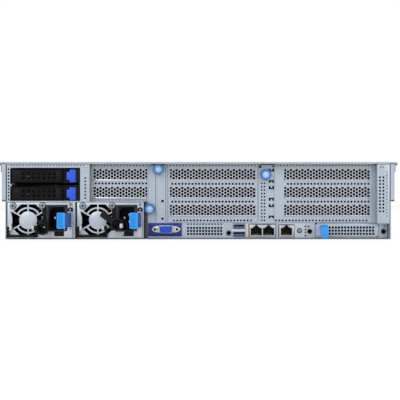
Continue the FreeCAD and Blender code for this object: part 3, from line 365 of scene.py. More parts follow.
def finish(name, colour, spread, cell, bump, roughness, grain=None, **values):
    """A material whose colour is mottled by a spread and whose surface is lifted by a bump, both in millimetres:
    the cells of the mottling have one size, and the relief has the grain's or the same."""
    tree, shader = surface(name, **values)
    place = add(tree, "ShaderNodeTexCoord").outputs["Object"]
    size = {"Vector": place, "Scale": 1 / (cell * MM), "Detail": 3.0, "Roughness": 0.6}
    cells = add(tree, "ShaderNodeTexNoise", size).outputs["Fac"]
    size = {"Vector": place, "Scale": 1 / (cell * 18 * MM), "Detail": 2.0}
    clouds = add(tree, "ShaderNodeTexNoise", size).outputs["Fac"]
    both = add(tree, "ShaderNodeMix", {"Factor": 0.35, "A": cells, "B": clouds})
    ramp = add(tree, "ShaderNodeValToRGB", {"Fac": both.outputs["Result"]})
    darker, lighter = ramp.color_ramp.elements
    darker.position, lighter.position = 0.3, 0.7
    darker.color = [max(0, c * (1 - spread)) for c in colour] + [1]
    lighter.color = [min(1, c * (1 + spread)) for c in colour] + [1]
    tree.links.new(ramp.outputs["Color"], shader.inputs["Base Color"])
    span = {"Value": cells, "To Min": roughness * 0.85, "To Max": min(1, roughness * 1.15)}
    rough = add(tree, "ShaderNodeMapRange", span)
    tree.links.new(rough.outputs["Result"], shader.inputs["Roughness"])
    fine = cells
    if grain:
        size = {"Vector": place, "Scale": 1 / (grain * MM), "Detail": 2.0}
        fine = add(tree, "ShaderNodeTexNoise", size).outputs["Fac"]
    relief = add(tree, "ShaderNodeBump", {"Height": fine, "Strength": 0.25, "Distance": bump * MM})
    tree.links.new(relief.outputs["Normal"], shader.inputs["Normal"])
    return ramp


def make_materials(colours):
    """All finishes of the server."""
    # Electro-galvanised sheet steel: satin grey-blue with a fine zinc spangle, mottled a little lighter and darker.
    finish("galvanised_steel", colours.zinc, 0.09, 1.6, 0.02, 0.42, Metallic=0.55)
    # Bright zinc on the pressed covers: paler, with the same spangle.
    finish("bright_zinc_steel", colours.zinc_bright, 0.07, 1.4, 0.02, 0.38, Metallic=0.45)
    # Galvanised sheet of the lid, with a coarser spangle than the panel's.
    finish("rolled_zinc_lid", linear("#A9B0BA"), 0.08, 2.2, 0.02, 0.36, Metallic=0.6)
    # Screw heads under blue passivation: a cool mid grey, glossy at the rim.
    finish("passivated_steel", linear("#93A0A8"), 0.08, 0.9, 0.0, 0.32, Metallic=0.75)
    # Dark brownish steel painted as shade: in the gaps between the supplies' faces, along the tray's bottom edge, at
    # the lower ends of the skirts and round three holes of the rear panel; dull.
    finish("painted_shade_steel", linear("#55504E"), 0.12, 1.8, 0.02, 0.55, Metallic=0.3)
    # Nickel-plated shells of the sockets: mirror-like but softly drawn.
    finish("nickel_plate", linear("#B9BCC4"), 0.05, 0.8, 0.01, 0.28, Metallic=0.9)
    # Bright drawn steel of the screws' shanks: the palest metal, glossy; on the low-profile covers' lips it is a
    # painted highlight along the fold.
    finish("bright_steel_and_lip_highlight", linear("#D4D7DE"), 0.05, 0.8, 0.01, 0.3, Metallic=0.8)
    # Glass-filled nylon, moulded with a fine spark texture: deep black, soft highlights.
    finish("black_nylon", colours.black, 0.12, 0.9, 0.05, 0.5, 0.35, Specular_IOR_Level=0.14)
    # Black polycarbonate blend of sockets and fan blades, a little glossier; the same black is painted as shade in the
    # inlets' sockets, behind the supplies' fans and deep in the video port's holes.
    finish("black_polycarbonate_and_shade", linear("#0C0C0F"), 0.1, 0.9, 0.03, 0.42, 0.5, Specular_IOR_Level=0.1)
    # Dark grey blend of the inlet housing; the same grey is painted as shade in the screws' recesses and round their
    # heads, and as highlights on the clamps' ribs.
    finish("charcoal_moulding_and_painted_light", linear("#2C2D38"), 0.08, 1.0, 0.03, 0.45, 0.4, Specular_IOR_Level=0.2)
    # Dark grey moulding of the rack ears and drive bezels, with a fine spark texture.
    finish("grey_abs", linear("#33363C"), 0.08, 1.2, 0.05, 0.5, 0.4)
    # Matt black polycarbonate sheet of the air duct; the same black is painted as shade on the sheets put behind holes,
    # slits and seams, where the inside is in shadow.
    finish("duct_and_shade_sheet", linear("#0B0B0D"), 0.08, 2.0, 0.04, 0.8, Specular_IOR_Level=0.2)
    # Coloured mouldings, films and lead jackets: a satin skin that takes soft highlights.
    for name, colour, rough in (
        ("royal_blue_moulding", colours.drive_blue, 0.38),
        ("azure_moulding", colours.azure, 0.35),
        # Darker copy of the release blue, painted as the shade on the supply latches' blades.
        ("azure_shaded_blade", linear("#1B4C9C"), 0.4),
        ("thumbscrew_ring_blue", colours.knob_blue, 0.4),
        ("thumbscrew_face_blue", colours.knob_face, 0.42),
        ("video_port_blue", colours.vga, 0.36),
        ("video_insert_blue", linear("#1F50D8"), 0.36),
        ("usb_blue", linear("#1C5F97"), 0.35),
        # Dark navy painted as the shade inside the bus sockets.
        ("navy_socket_shade", linear("#0A1C38"), 0.5),
        ("button_teal", linear("#16363C"), 0.3),
        ("cream_moulding", linear("#CDC6C6"), 0.45),
        ("oxide_red_lead", linear("#4A2420"), 0.5),
        ("lilac_label_film", linear("#AFB9D6"), 0.5),
    ):
        finish(name, colour, 0.05, 0.8, 0.03, rough, 0.4)
    # Gold flash on the contacts.
    finish("gold_flash", linear("#D8B25A"), 0.06, 0.5, 0.01, 0.3, Metallic=1.0)
    # Extruded aluminium fins of the coolers, bead-blasted.
    finish("extruded_aluminium", linear("#9A9DA3"), 0.06, 1.2, 0.02, 0.5, Metallic=0.85)
    # Glass-epoxy board under green solder mask, with copper tracks that lift the mask.
    ramp = finish("green_solder_mask", colours.board, 0.18, 2.4, 0.05, 0.35)
    ramp.color_ramp.interpolation = "CONSTANT"
    # Smoked lens of a drive light, unlit.
    finish("smoked_lens", linear("#5A5E5C"), 0.04, 0.6, 0.01, 0.3, Transmission_Weight=0.1)
    # Lens of a status light, unlit.
    finish("milky_lens", linear("#D8DEDA"), 0.04, 0.6, 0.01, 0.25, Transmission_Weight=0.25)


NODE_FINISH = {
    "galvanised_steel": (
        "chassis_tray rear_panel psu_cage rear_drive_cage low_profile_bracket left_riser right_riser "
        "front_drive_cage fan_bracket"
    ),
    "bright_zinc_steel": "low_profile_covers left_slot_covers right_slot_covers psu_case_1 psu_case_2 network_card",
    "rolled_zinc_lid": "top_cover front_cover",
    "nickel_plate": "usb_ports network_ports",
    "black_nylon": (
        "rear_lever_1 rear_lever_2 psu_handle_1 psu_handle_2 psu_clamp_1 psu_clamp_2 rear_carrier_1 rear_carrier_2"
    ),
    "black_polycarbonate_and_shade": "psu_fan_1 psu_fan_2 system_fan_1 system_fan_2 system_fan_3 system_fan_4",
    "charcoal_moulding_and_painted_light": "psu_inlet_1 psu_inlet_2",
    "grey_abs": "left_ear right_ear " + " ".join("front_carrier_%d" % n for n in range(1, 9)),
    "duct_and_shade_sheet": "air_duct",
    "royal_blue_moulding": "rear_latch_1 rear_latch_2 cover_latch",
    "azure_moulding": "psu_latch_1 psu_latch_2",
    "thumbscrew_ring_blue": "thumbscrew_1 thumbscrew_2 thumbscrew_3",
    "video_port_blue": "vga_port",
    "button_teal": "id_button power_button",
    "extruded_aluminium": "heatsinks",
    "green_solder_mask": "main_board memory_modules",
}


def dress_nodes():
    """Gives every node of the frame its finish."""
    for name, nodes in NODE_FINISH.items():
        for node in nodes.split():
            paint_node(NODES[node], MATERIALS[name])


def paint_node(obj, material):
    """Puts a material in all slots of a frame node."""
    if not obj.data.materials:
        obj.data.materials.append(material)
    for slot in obj.material_slots:
        slot.material = material


# The stage


CAMERA_AT = (0.0021, -1.293, 0.0442)
CAMERA_LENS = 75.2
LAMPS_LOOK_AT = (0, 0, 0.04)
LAMPS = (
    ("key_lamp", (-1.3, -2.4, 1.7), 1.6, 33),
    ("fill_lamp", (1.8, -2.0, 0.9), 1.6, 17),
    ("top_lamp", (0.2, 0.3, 2.4), 2.0, 26),
    ("front_lamp", (0.6, 2.6, 1.5), 1.8, 20),
)


def seen_rays(tree):
    """The light path node of a tree, and its rays from the camera and from glossy surfaces taken together."""
    path = add(tree, "ShaderNodeLightPath")
    ends = {0: path.outputs["Is Camera Ray"], 1: path.outputs["Is Glossy Ray"]}
    return path, add(tree, "ShaderNodeMath", ends, operation="ADD").outputs[0]


def make_floor():
    """A pale paper floor, which looks as white as the surround to the camera and takes a little shadow."""
    ready()
    bpy.ops.mesh.primitive_plane_add(size=12, location=(0, 0, -0.0004))
    floor = settle(bpy.context.object)
    floor.name = "floor"
    tree, shader = surface("floor_paper", Roughness=0.9, Specular_IOR_Level=0.1)
    place = add(tree, "ShaderNodeTexCoord")
    paper = add(tree, "ShaderNodeTexNoise", {"Vector": place.outputs["Object"], "Scale": 40.0, "Detail": 2.0})
    shade = add(tree, "ShaderNodeValToRGB", {"Fac": paper.outputs["Fac"]})
    shade.color_ramp.elements[0].color = (*linear("#F2F2F2"), 1)
    shade.color_ramp.elements[1].color = (*linear("#F6F6F6"), 1)
    tree.links.new(shade.outputs["Color"], shader.inputs["Base Color"])
    rays = seen_rays(tree)[1]
    glow = add(tree, "ShaderNodeEmission", {"Color": (1, 1, 1, 1), "Strength": 1.0})
    share = add(tree, "ShaderNodeMath", {0: rays, 1: 0.88}, operation="MULTIPLY", use_clamp=True)
    blend = add(tree, "ShaderNodeMixShader", {0: share.outputs[0], 1: shader.outputs[0], 2: glow.outputs[0]})
    tree.links.new(blend.outputs[0], tree.nodes["Material Output"].inputs["Surface"])
    floor.data.materials.append(MATERIALS["floor_paper"])


def make_surround():
    """An even white surround, dimmer for the light on the server than for what the camera sees."""
    world = bpy.data.worlds.new("white_surround")
    world.use_nodes = True
    bpy.context.scene.world = world
    tree = world.node_tree
    tree.nodes.clear()
    path, rays = seen_rays(tree)
    rays = add(tree, "ShaderNodeMath", {0: rays, 1: path.outputs["Is Transmission Ray"]}, operation="ADD")
    strength = add(tree, "ShaderNodeMapRange", {"Value": rays.outputs[0], "To Min": 0.5, "To Max": 1.0})
    back = add(tree, "ShaderNodeBackground", {"Color": (1, 1, 1, 1), "Strength": strength.outputs["Result"]})
    add(tree, "ShaderNodeOutputWorld", {"Surface": back.outputs[0]}, is_active_output=True)


def make_lamps():
    """Four soft lamps that look at the server: name, place, size in metres and power in watts."""
    for name, place, size, power in LAMPS:
        data = bpy.data.lights.new(name, "AREA")
        data.size = size
        data.energy = power
        lamp = bpy.data.objects.new(name, data)
        lamp.location = place
        lamp.rotation_euler = (Vector(LAMPS_LOOK_AT) - Vector(place)).to_track_quat("-Z", "Y").to_euler()
        bpy.context.scene.collection.objects.link(lamp)


def make_camera():
    """The camera at the photograph's place, level and straight on."""
    data = bpy.data.cameras.new("camera")
    data.sensor_width = 36
    data.lens = CAMERA_LENS
    data.clip_start = 0.01
    camera = bpy.data.objects.new("camera", data)
    camera.location = CAMERA_AT
    camera.rotation_euler = (math.pi / 2, 0, 0)
    bpy.context.scene.collection.objects.link(camera)
    bpy.context.scene.camera = camera


def make_stage():
    """Floor, surround, lamps and camera."""
    bpy.context.scene.view_settings.view_transform = "Standard"
    make_floor()
    make_surround()
    make_lamps()
    make_camera()


# Pieces

SLOTS_AT = (72.8, 52.48, 32.16)
PANEL_Y = -340.5
COVER_Y = PANEL_Y
BACK_Y = -353.0
PANEL_TOP = 84.3
PANEL_SIDES = (-57.6, 215.6)
COLUMN_X = 201.5
THUMBSCREW_AT = ((-45.2, 79.3), (-54.9, 34.1), (76.8, 73.0))
BUTTON_AT = (115.6, 9.3)
SOCKET_Y = PANEL_Y - 0.8
LEVER_X = -208.6
LATCH_TIP_Y = -393.0


def at_back(low, high, round_by=0.0, segments=2):
    """A cuboid whose depths are counted from the server's back face."""
    return block((low[0], low[1] + BACK_Y, low[2]), (high[0], high[1] + BACK_Y, high[2]), round_by, segments)


def at_panel(low, high, round_by=0.0, segments=2):
    """A cuboid whose depths are counted from the rear panel."""
    return block((low[0], low[1] + PANEL_Y, low[2]), (high[0], high[1] + PANEL_Y, high[2]), round_by, segments)


def vent_comb(left, middle, columns, sizes):
    """The staggered holes of one slot cover: columns of four and of three in turn."""
    radius, column, row = (getattr(sizes, key) / MM for key in ("hole_radius", "hole_column", "hole_row"))
    tall = comb(left, middle - 1.5 * row, 4, (0, 0, row), radius, COVER_Y - 2, COVER_Y + 2)
    short = comb(left + column, middle - row, 3, (0, 0, row), radius, COVER_Y - 2, COVER_Y + 2)
    return [repeat(tall, (columns + 1) // 2, (2 * column, 0, 0)), repeat(short, columns // 2, (2 * column, 0, 0))]


def dots(x, z, count, sizes, near=PANEL_Y - 2, far=PANEL_Y + 2, scale=1.0, up=False, sides=8):
    """A row of the small holes, rightwards or up from its first."""
    pitch = sizes.dot_pitch / MM
    step = (0, 0, pitch) if up else (pitch, 0, 0)
    return comb(x, z, count, step, sizes.dot_radius / MM * scale, near, far, sides)


def slot_cover(window, first, columns, sizes, lip_finish):
    """One cover at the top slot: a sheet behind its window with staggered holes and a lip folded out under them."""
    low, high = window
    sheet = block((low - 1.2, COVER_Y, SLOTS_AT[0] - 8.2), (high + 1.2, COVER_Y + 0.8, SLOTS_AT[0] + 8.2), 0.15, 1)
    sheet = carve(sheet, *vent_comb(first, SLOTS_AT[0], columns, sizes))
    fold = SLOTS_AT[0] - 6.6
    lip = block((low + 0.4, COVER_Y - 2.4, fold), (high - 0.4, COVER_Y + 0.2, fold + sizes.lip / MM), 0.25)
    return join(paint(sheet, "bright_zinc_steel"), paint(lip, lip_finish))


def make_slot_covers(sizes):
    """Eight covers in three groups."""
    for name, window, first, columns, count in (
        ("low_profile_covers", (-119.6, -58.0), -117.9, 19, 2),
        ("left_slot_covers", (-32.1, 65.5), -31.2, 30, 3),
        ("right_slot_covers", (98.0, 195.6), 99.2, 30, 3),
    ):
        # The low-profile covers' lips take the palest steel as a painted highlight.
        cover = slot_cover(window, first, columns, sizes, "bright_steel_and_lip_highlight" if count == 2 else "bright_zinc_steel")
        rest = [copy(cover, (0, 0, z - SLOTS_AT[0])) for z in SLOTS_AT[1:count]]
        piece("vented_" + name, "bright_zinc_steel", "root", cover, *rest, slot="light_steel", instead_of=[name])


def riser_frame(name, left, right, low, window, slots, rows, depth, sizes):
    """A slot frame with its windows and rows of small holes, folded edges, top shelf and upright card."""
    near, far = PANEL_Y - 1, PANEL_Y
    sheet = block((left, near, low), (right, far, PANEL_TOP), 0.2, 1)
    cutters = [
        block((window[0], near - 2, z - 6.6), (window[1], far + 2, z + 6.6)) for z in SLOTS_AT[:slots]
    ]
    cutters += [dots(x, z, count, sizes, near - 2, far + 2, scale) for x, z, count, scale in rows]
    sheet = carve(sheet, *cutters)
    fold = [
        block((left + 2, far - 0.2, 81.9), (right - 2, PANEL_Y + depth, 82.9), 0.2, 1),
        block((left, far - 0.2, low), (left + 1, far + 7, 81.9), 0.2, 1),
        block((right - 1, far - 0.2, low), (right, far + 7, 81.9), 0.2, 1),
    ]
    # Painted shade: a black sheet and a strip behind the frame stand in for the dark inside of the server.
    shade_baffle = at_panel((left + 1.2, 21, low + 0.4), (right - 1.2, 21.8, 81.8), 0.1, 1)
    shade_apron = at_panel((left + 1.2, 2.2, low + 0.4), (right - 1.2, 21.4, low + 1.0), 0.1, 1)
    shade_baffle = paint(join(shade_baffle, shade_apron), "duct_and_shade_sheet")
    piece(name, "galvanised_steel", "root", sheet, *fold, slot="zinc_steel", instead_of=[name[5:]])
    card = at_panel((left + 6, 30, low + 4), (left + 7.6, depth - 5, 78.0), 0.2, 1)
    sockets = []
    for z in SLOTS_AT[:slots]:
        socket = at_panel((left + 7.6, 42, z - 4), (left + 18.6, depth - 18, z + 3.4), 0.6)
        choose(socket, lambda c, n: n.x > 0.99)
        bpy.ops.mesh.inset(thickness=2.4 * MM)
        bpy.ops.mesh.inset(thickness=0, depth=-6 * MM)
        ready()
        sockets.append(paint(socket, "black_polycarbonate_and_shade"))
    piece(name[5:] + "_card", "green_solder_mask", "root", card, shade_baffle, *sockets, slot="board_green")


def make_risers(sizes):
    """Low-profile bracket and the two risers."""
    riser_frame(
        "face_low_profile_bracket", -124.6, -57.0, 42.4, (-119.6, -58.0), 2,
        [(-116.6, 63.0, 16, 1.6), (-116.6, 44.4, 16, 1.1)], 172, sizes,
    )
    riser_frame(
        "face_left_riser", -34.3, 67.9, 18.8, (-32.1, 65.5), 3,
        [(-29.4, 62.6, 25, 1.6), (-29.4, 42.3, 25, 1.6), (-27.6, 20.9, 24, 1.45)], 170, sizes,
    )
    riser_frame(
        "face_right_riser", 86.8, 198.6, 18.8, (98.0, 195.6), 3,
        [(102.2, 62.6, 25, 1.6), (102.2, 42.3, 25, 1.6), (88.6, 20.9, 28, 1.45)], 170, sizes,
    )


def panel_cutters(sizes):
    """What is cut out of the rear panel: openings, vents, round holes, hooks, slits and three blind holes."""
    near, far = PANEL_Y - 2, PANEL_Y + 3
    cutters = [
        block(low, high)
        for low, high in (
            ((-34.7, near, 19.5), (68.4, far, 83.4)),
            ((87.5, near, 19.5), (197.9, far, 83.4)),
            ((-52.6, near, 4.6), (-20.4, far, 17.0)),
            ((39.5, near, 1.6), (54.0, far, 17.6)),
            ((57.5, near, 1.4), (88.9, far, 17.2)),
            ((91.4, near, 1.4), (109.7, far, 16.3)),
            ((133.1, near, 1.6), (205.7, far, 18.2)),
        )
    ]
    grid = comb(-11.5, 5.5, 12, (3.43, 0, 0), 1.42, near, far, 8)
    cutters.append(repeat(grid, 3, (0, 0, 3.4)))
    cutters.append(comb(-11.5, 16.7, 12, (3.43, 0, 0), 1.0, near, far, 8))
    cutters.append(repeat(dots(72.5, 21.1, 12, sizes, near, far, 1.25, True), 2, (3.2, 0, 0)))
    for x, z, radius in (
        (34.9, 6.5, 2.3), (122.5, 14.1, 1.0), (122.5, 10.6, 1.0), (122.5, 7.2, 1.0), (122.5, 3.6, 1.0),
        (126.0, 13.9, 1.0), (127.2, 8.4, 2.4), (*BUTTON_AT, 2.9), (212.3, 14.5, 0.8), (211.3, 8.4, 2.4),
        (-40.6, 43.0, 1.6), (-40.7, 22.9, 1.5), (85.3, 82.6, 1.1), (70.6, 82.2, 1.6),
        *[(x, z, 2.6) for x, z in THUMBSCREW_AT],
    ):
        cutters.append(rod((x, PANEL_Y, z), radius, 6, "Y", 20))
    hooks = (76.5, 80.1, -1), (63.6, 66.9, 1), (56.5, 60.4, -1), (43.4, 46.7, 1), (36.0, 39.6, -1), (23.3, 26.4, 1)
    for low, high, side in hooks:
        shut, bar, open_end = (low, low + 1.5, high) if side < 0 else (high, high - 1.5, low)
        hook = [(80.5, shut), (80.5, open_end), (82.6, open_end), (82.6, bar), (84.5, bar), (84.5, open_end)]
        cutters.append(profile(hook + [(86.5, open_end), (86.5, shut)], near, far))
    for x in (-48.6, -37.2):
        cutters.append(block((x, near, 18.6), (x + 0.5, far, 83.0)))
    for x, z in ((-40.2, 55.4), (-40.7, 28.6), (-41.1, 71.9)):
        cutters.append(rod((x, PANEL_Y - 0.3, z), 1.3, 1.0, "Y", 20, far=0.9))
    return cutters


def make_rear_panel(sizes):
    """Port row and columns in one sheet with its cut-outs, and the raised column at the right."""
    sheet = at_panel((PANEL_SIDES[0], 0, 1.2), (PANEL_SIDES[1], sizes.panel_thickness / MM, PANEL_TOP), 0.15, 1)
    sheet = carve(sheet, *panel_cutters(sizes))
    label = at_panel((109.8, -0.15, 2.0), (121.2, 0.1, 17.2), 0.05, 1)
    carve(label, rod((BUTTON_AT[0], PANEL_Y, BUTTON_AT[1]), 2.95, 4))
    # Painted shade: a dark ring round each of three round holes.
    rim_shades = [
        carve(rod((x, PANEL_Y - 0.1, z), radius, 0.5), rod((x, PANEL_Y, z), radius - 0.7, 3))
        for x, z, radius in ((34.9, 6.5, 3.1), (127.2, 8.4, 3.0), (211.3, 8.4, 3.1))
    ]
    # Painted shade: black sheets behind the slits, the vents and the raised column's holes, where the inside is in
    # shadow; the label among them is the panel's own.
    shades_and_label = [
        paint(at_panel((-50.2, 1.3, 18.6), (-35.4, 2.0, 83.4), 0.1, 1), "duct_and_shade_sheet"),
        paint(at_panel((-16.0, 9, 2.0), (39.0, 9.8, 17.9), 0.1, 1), "duct_and_shade_sheet"),
        paint(label, "bright_zinc_steel"),
        paint(join(*rim_shades), "painted_shade_steel"),
        paint(at_back((202.7, 1.6, 19.0), (214.4, 2.2, 84.0), 0.1, 1), "duct_and_shade_sheet"),
    ]
    foot = at_panel((PANEL_SIDES[0], 0.1, 1.0), (PANEL_SIDES[1], 12, 1.9), 0.2, 1)
    face = at_back((COLUMN_X, 0, 17.8), (PANEL_SIDES[1], 1, PANEL_TOP), 0.3)
    holes = [
        repeat(dots(204.6, 31.6, 11, sizes, BACK_Y - 2, BACK_Y + 3, 1.5, True), 2, (3.85, 0, 0)),
        dots(212.4, 26.0, 14, sizes, BACK_Y - 2, BACK_Y + 3, 0.85, True),
        comb(205.1, 81.2, 2, (3.1, 0, 0), 0.8, BACK_Y - 2, BACK_Y + 3),
    ]
    for z in (75.1, 28.2):
        holes.append(rod((206.5, BACK_Y - 0.2, z), 2.4, 0.9, "Y", 24, far=1.8))
    face = carve(face, *holes)
    wall = block((COLUMN_X, BACK_Y + 0.5, 17.8), (202.5, PANEL_Y + 0.5, PANEL_TOP), 0.2, 1)
    side = block((214.6, BACK_Y + 0.5, 17.8), (PANEL_SIDES[1], PANEL_Y + 0.5, PANEL_TOP), 0.2, 1)
    step = block((COLUMN_X, BACK_Y + 0.5, 17.8), (PANEL_SIDES[1], PANEL_Y + 0.5, 18.8), 0.2, 1)
    piece(
        "panel_with_ports_cut", "galvanised_steel", "root", sheet, *shades_and_label, foot, face, wall, side, step,
        slot="zinc_steel", instead_of=["rear_panel"],
    )


def knob(x, z, sizes):
    """A captive thumbscrew: knurled ring, dished pale face with a driver recess, collar and shank."""
    radius = sizes.knob_radius / MM
    near = PANEL_Y - 7.4
    ring = rod((x, near + 2.6, z), radius - 0.35, 5.2, "Y", 48)
    choose(ring, lambda c, n: n.y < -0.99)
    bpy.ops.mesh.inset(thickness=1.9 * MM)
    bpy.ops.mesh.inset(thickness=0.3 * MM, depth=-1.1 * MM)
    bpy.ops.mesh.delete(type="FACE")
    ready()
    ring = soften(ring, 0.35, 3, 50)
    tooth = block((x - 0.22, near + 0.5, z + radius - 0.75), (x + 0.22, near + 4.8, z + radius), 0.12, 1)
    teeth = around(tooth, 36, x, z)
    collar = rod((x, near + 6.3, z), radius * 0.72, 2.4, "Y", 32)
    ring = join(ring, *teeth, collar)
    face = rod((x, near + 1.7, z), radius - 2.1, 1.4, "Y", 48)
    sink(face, facing_back, 0.5, -0.25)
    sink(face, lambda c, n: n.y < -0.99 and abs(c.x - x) < 1 and abs(c.z - z) < 1, 1.9, 0.35)
    face = paint(soften(face, 0.12, 2, 30), "thumbscrew_face_blue")
    cross = [
        block((x - 1.1, near, z - 0.2), (x + 1.1, near + 1.6, z + 0.2)),
        block((x - 0.2, near - 0.1, z - 1.1), (x + 0.2, near + 1.7, z + 1.1)),
    ]
    centre = rod((x, near + 1.2, z), 1.35, 0.7, "Y", 24)
    centre = paint(carve(soften(centre, 0.12), *cross, crossing=True), "bright_steel_and_lip_highlight")
    shank = rod((x, PANEL_Y + 2.6, z), 2.1, 9.0, "Y", 24)
    thread = [rod((x, PANEL_Y + 1.4 + step * 0.7, z), 2.35, 0.35, "Y", 24) for step in range(8)]
    return ring, face, centre, paint(join(shank, *thread), "bright_steel_and_lip_highlight")


def make_thumbscrews(sizes):
    """Three captive thumbscrews."""
    for index, (x, z) in enumerate(THUMBSCREW_AT, start=1):
        node = "thumbscrew_%d" % index
        ring, *rest = knob(x, z, sizes)
        piece(
            "captive_" + node, "thumbscrew_ring_blue", node, ring, *rest,
            slot="screw_blue", instead_of=[node],
        )


FAN_AT = ((-191.25, 21.3), (-112.85, 21.3))
PSU_LEFT = (-214.7, -136.3)
PSU_WIDE = 73.5
PSU_LONG = 185
PSU_Z = (1.3, 41.3)
LATCH_AXIS = 33.7
LATCH_MIDDLE = 21.8
BAIL_AXIS_Z = 12.6


def band(centre, radius, wide, near, deep, first, last, sides=40, round_by=0.3):
    """A bent strip round an axis along Y, from one angle to another in degrees."""
    x, z = centre
    turns = [math.radians(first + (last - first) * step / sides) for step in range(sides + 1)]
    outer = [(x + (radius + wide) * math.cos(a), z + (radius + wide) * math.sin(a)) for a in turns]
    inner = [(x + radius * math.cos(a), z + radius * math.sin(a)) for a in reversed(turns)]
    return profile(outer + inner, near, near + deep, "Y", round_by)


def fan_guard(x, z):
    """Pressed guard: hub disc, six bars and two arcs of a ring."""
    near, far = BACK_Y - 0.1, BACK_Y + 1.1
    hub = soften(rod((x, (near + far) / 2, z), 10.1, far - near, "Y", 48), 0.3, 2, 50)
    bars = around(block((x - 0.85, near, z + 9.6), (x + 0.85, far, z + 20.6), 0.25, 1), 6, x, z)
    arcs = [band((x, z), 13.15, 1.7, near, far - near, start, start + 120, 24, 0) for start in (30, 210)]
    return join(hub, *bars, *arcs)


def fan_mouth(x, z, near, far):
    """Cutter for the fan opening: eight sides, with a waist left and right."""
    corners = [
        (-8, 17.9), (8.6, 17.9), (15.6, 11.2), (19.7, 9.4), (19.7, -9.4), (15.6, -11.2), (8.6, -17.9), (-8, -17.9),
        (-15.4, -11.2), (-19.6, -9.4), (-17.9, -3), (-17.9, 3), (-19.6, 9.4), (-15.4, 11.2),
    ]
    return profile([(x + across, z + up) for across, up in corners], near, far)


def pan_screw(x, z, radius=3.3):
    """A cross-recessed pan-head screw that looks backwards, with painted shade in its recess and a ring of painted
    shadow round it.
    """
    head = soften(rod((x, BACK_Y - 0.9, z), radius, 1.9, "Y", 32), 0.9, 3, 50)
    arm, half = radius * 0.62, radius * 0.17
    cross = [
        at_back((x - arm, -3, z - half), (x + arm, -0.8, z + half)),
        at_back((x - half, -3.1, z - arm), (x + half, -0.7, z + arm)),
    ]
    head = paint(carve(head, *cross, crossing=True), "passivated_steel")
    # Painted shade: a dark disc at the bottom of the cross recess.
    recess = rod((x, BACK_Y - 0.75, z), radius * 0.6, 0.7, "Y", 16)
    head = join(head, paint(recess, "charcoal_moulding_and_painted_light"))
    # Painted shadow: a dark ring round the head.
    shadow_ring = soften(rod((x, BACK_Y - 0.05, z), radius * 1.2, 0.3, "Y", 32), 0.1, 1, 50)
    return join(head, paint(shadow_ring, "charcoal_moulding_and_painted_light"))


def make_supply_case(left, mid, x, z, tag):
    """Case with its fan mouth and guard, the ears and lugs of the handle and latch, and the corner screws."""
    case = at_back((left, 0, PSU_Z[0]), (left + PSU_WIDE, PSU_LONG, PSU_Z[1]), 0.5)
    carve(case, at_back((x - 19.3, 1.1, z - 19.3), (x + 19.3, 26, z + 19.3)))
    carve(case, fan_mouth(x, z, BACK_Y - 1, BACK_Y + 2))
    carve(case, at_back((mid + 6.75, -1, 8.6), (mid + 31.25, 19.1, 38.6)))
    seams = [
        at_back((left + 4, 20 + step * 30, 41.1), (left + PSU_WIDE - 4, 34 + step * 30, 42)) for step in range(5)
    ]
    carve(case, *seams)
    rail = at_back((mid + 35.2, -1.0, 12.5), (mid + 36.1, 0.2, 30.0), 0.2)
    foot = at_back((mid + 27.4, -0.6, 2.0), (mid + 36.2, 0.2, 11.8), 0.4)
    brow = at_back((mid + 7.6, -0.9, 39.0), (mid + 30.4, 0.2, 40.2), 0.25)
    crescent = profile(
        [(x + 15.2, z + 4.9), (x + 18.0, z + 4.6), (x + 17.2, z), (x + 16.7, z - 4.9), (x + 15.0, z - 4.9)],
        BACK_Y + 1.6, BACK_Y + 2.6, "Y", 0.15,
    )
    shaft = rod((x, BACK_Y + 21.5, z), 1.9, 9.5, "Y", 20)
    housing = at_back((x - 19.2, 2.8, z - 19.2), (x + 19.2, 25.8, z + 19.2), 0.3, 1)
    carve(housing, rod((x, BACK_Y + 12, z), 18.7, 40, "Y", 56))
    # Painted shade: a black wall closes the back of the fan frame, where the supply's inside is in shadow.
    back_shade = at_back((x - 19.2, 25.2, z - 19.2), (x + 19.2, 25.9, z + 19.2), 0.1, 1)
    housing = paint(join(housing, back_shade), "black_polycarbonate_and_shade")
    lugs = [
        at_back((mid + 31.7, -4, low), (mid + 35.7, 0.5, low + 1.2), 0.3) for low in (12.4, 30.0)
    ]
    axle = rod((mid + LATCH_AXIS, BACK_Y - 2.2, LATCH_MIDDLE), 1.45, 18, "Z", 16)
    ears = []
    for low in (mid - 19.6 - 16 + 2.1, mid - 19.6 + 16 - 4.9):
        ear = at_back((low, -5.4, 10.0), (low + 2.8, 0, 15.2), 0.5)
        ears.append(carve(ear, rod((low + 1.4, BACK_Y - 3, BAIL_AXIS_Z), 2.0, 5, "X", 20)))
    screws = [pan_screw(x - 16.9, 37.6), pan_screw(x + 16.2, 37.7), pan_screw(mid + 34.4, 39.2, 1.3)]
    piece(
        "supply_case" + tag, "bright_zinc_steel", "psu_case" + tag, case, fan_guard(x, z), rail, foot, brow, crescent,
        housing, shaft, *lugs, axle, *ears, *screws, slot="light_steel", instead_of=["psu_case" + tag],
    )


def make_supply_trim(mid, x, z, tag):
    """Dark trim beside the inlet, the fan's leads and the status light in its ring."""
    trim = [
        at_back((mid + 16.2, -0.6, 3.4), (mid + 27, 0.3, 8.6), 0.4),
        at_back((mid + 2.6, -0.2, 10), (mid + 6.8, 0.2, 38.4), 0.1, 1),
    ]
    leads = [
        turn(lead, 32 + step * 9, "Y", (x + 12, 0, z + 12))
        for step, lead in enumerate(
            rod((x + 12, BACK_Y + 2.4 + row * 0.5, z + 12.5 - row), 0.5, 11, "Z", 10) for row in range(3)
        )
    ]
    leads = paint(join(*leads), "oxide_red_lead")
    rim = rod((mid + 34.3, BACK_Y - 0.6, 33.2), 2.95, 1.4, "Y", 32)
    sink(rim, facing_back, 1.1, -0.5)
    lens = paint(soften(rod((mid + 34.3, BACK_Y - 0.55, 33.2), 1.05, 1.3, "Y", 24), 0.3), "passivated_steel")
    piece("supply_trim" + tag, "black_nylon", "psu_case" + tag, *trim, rim, lens, leads, slot="black_plastic")


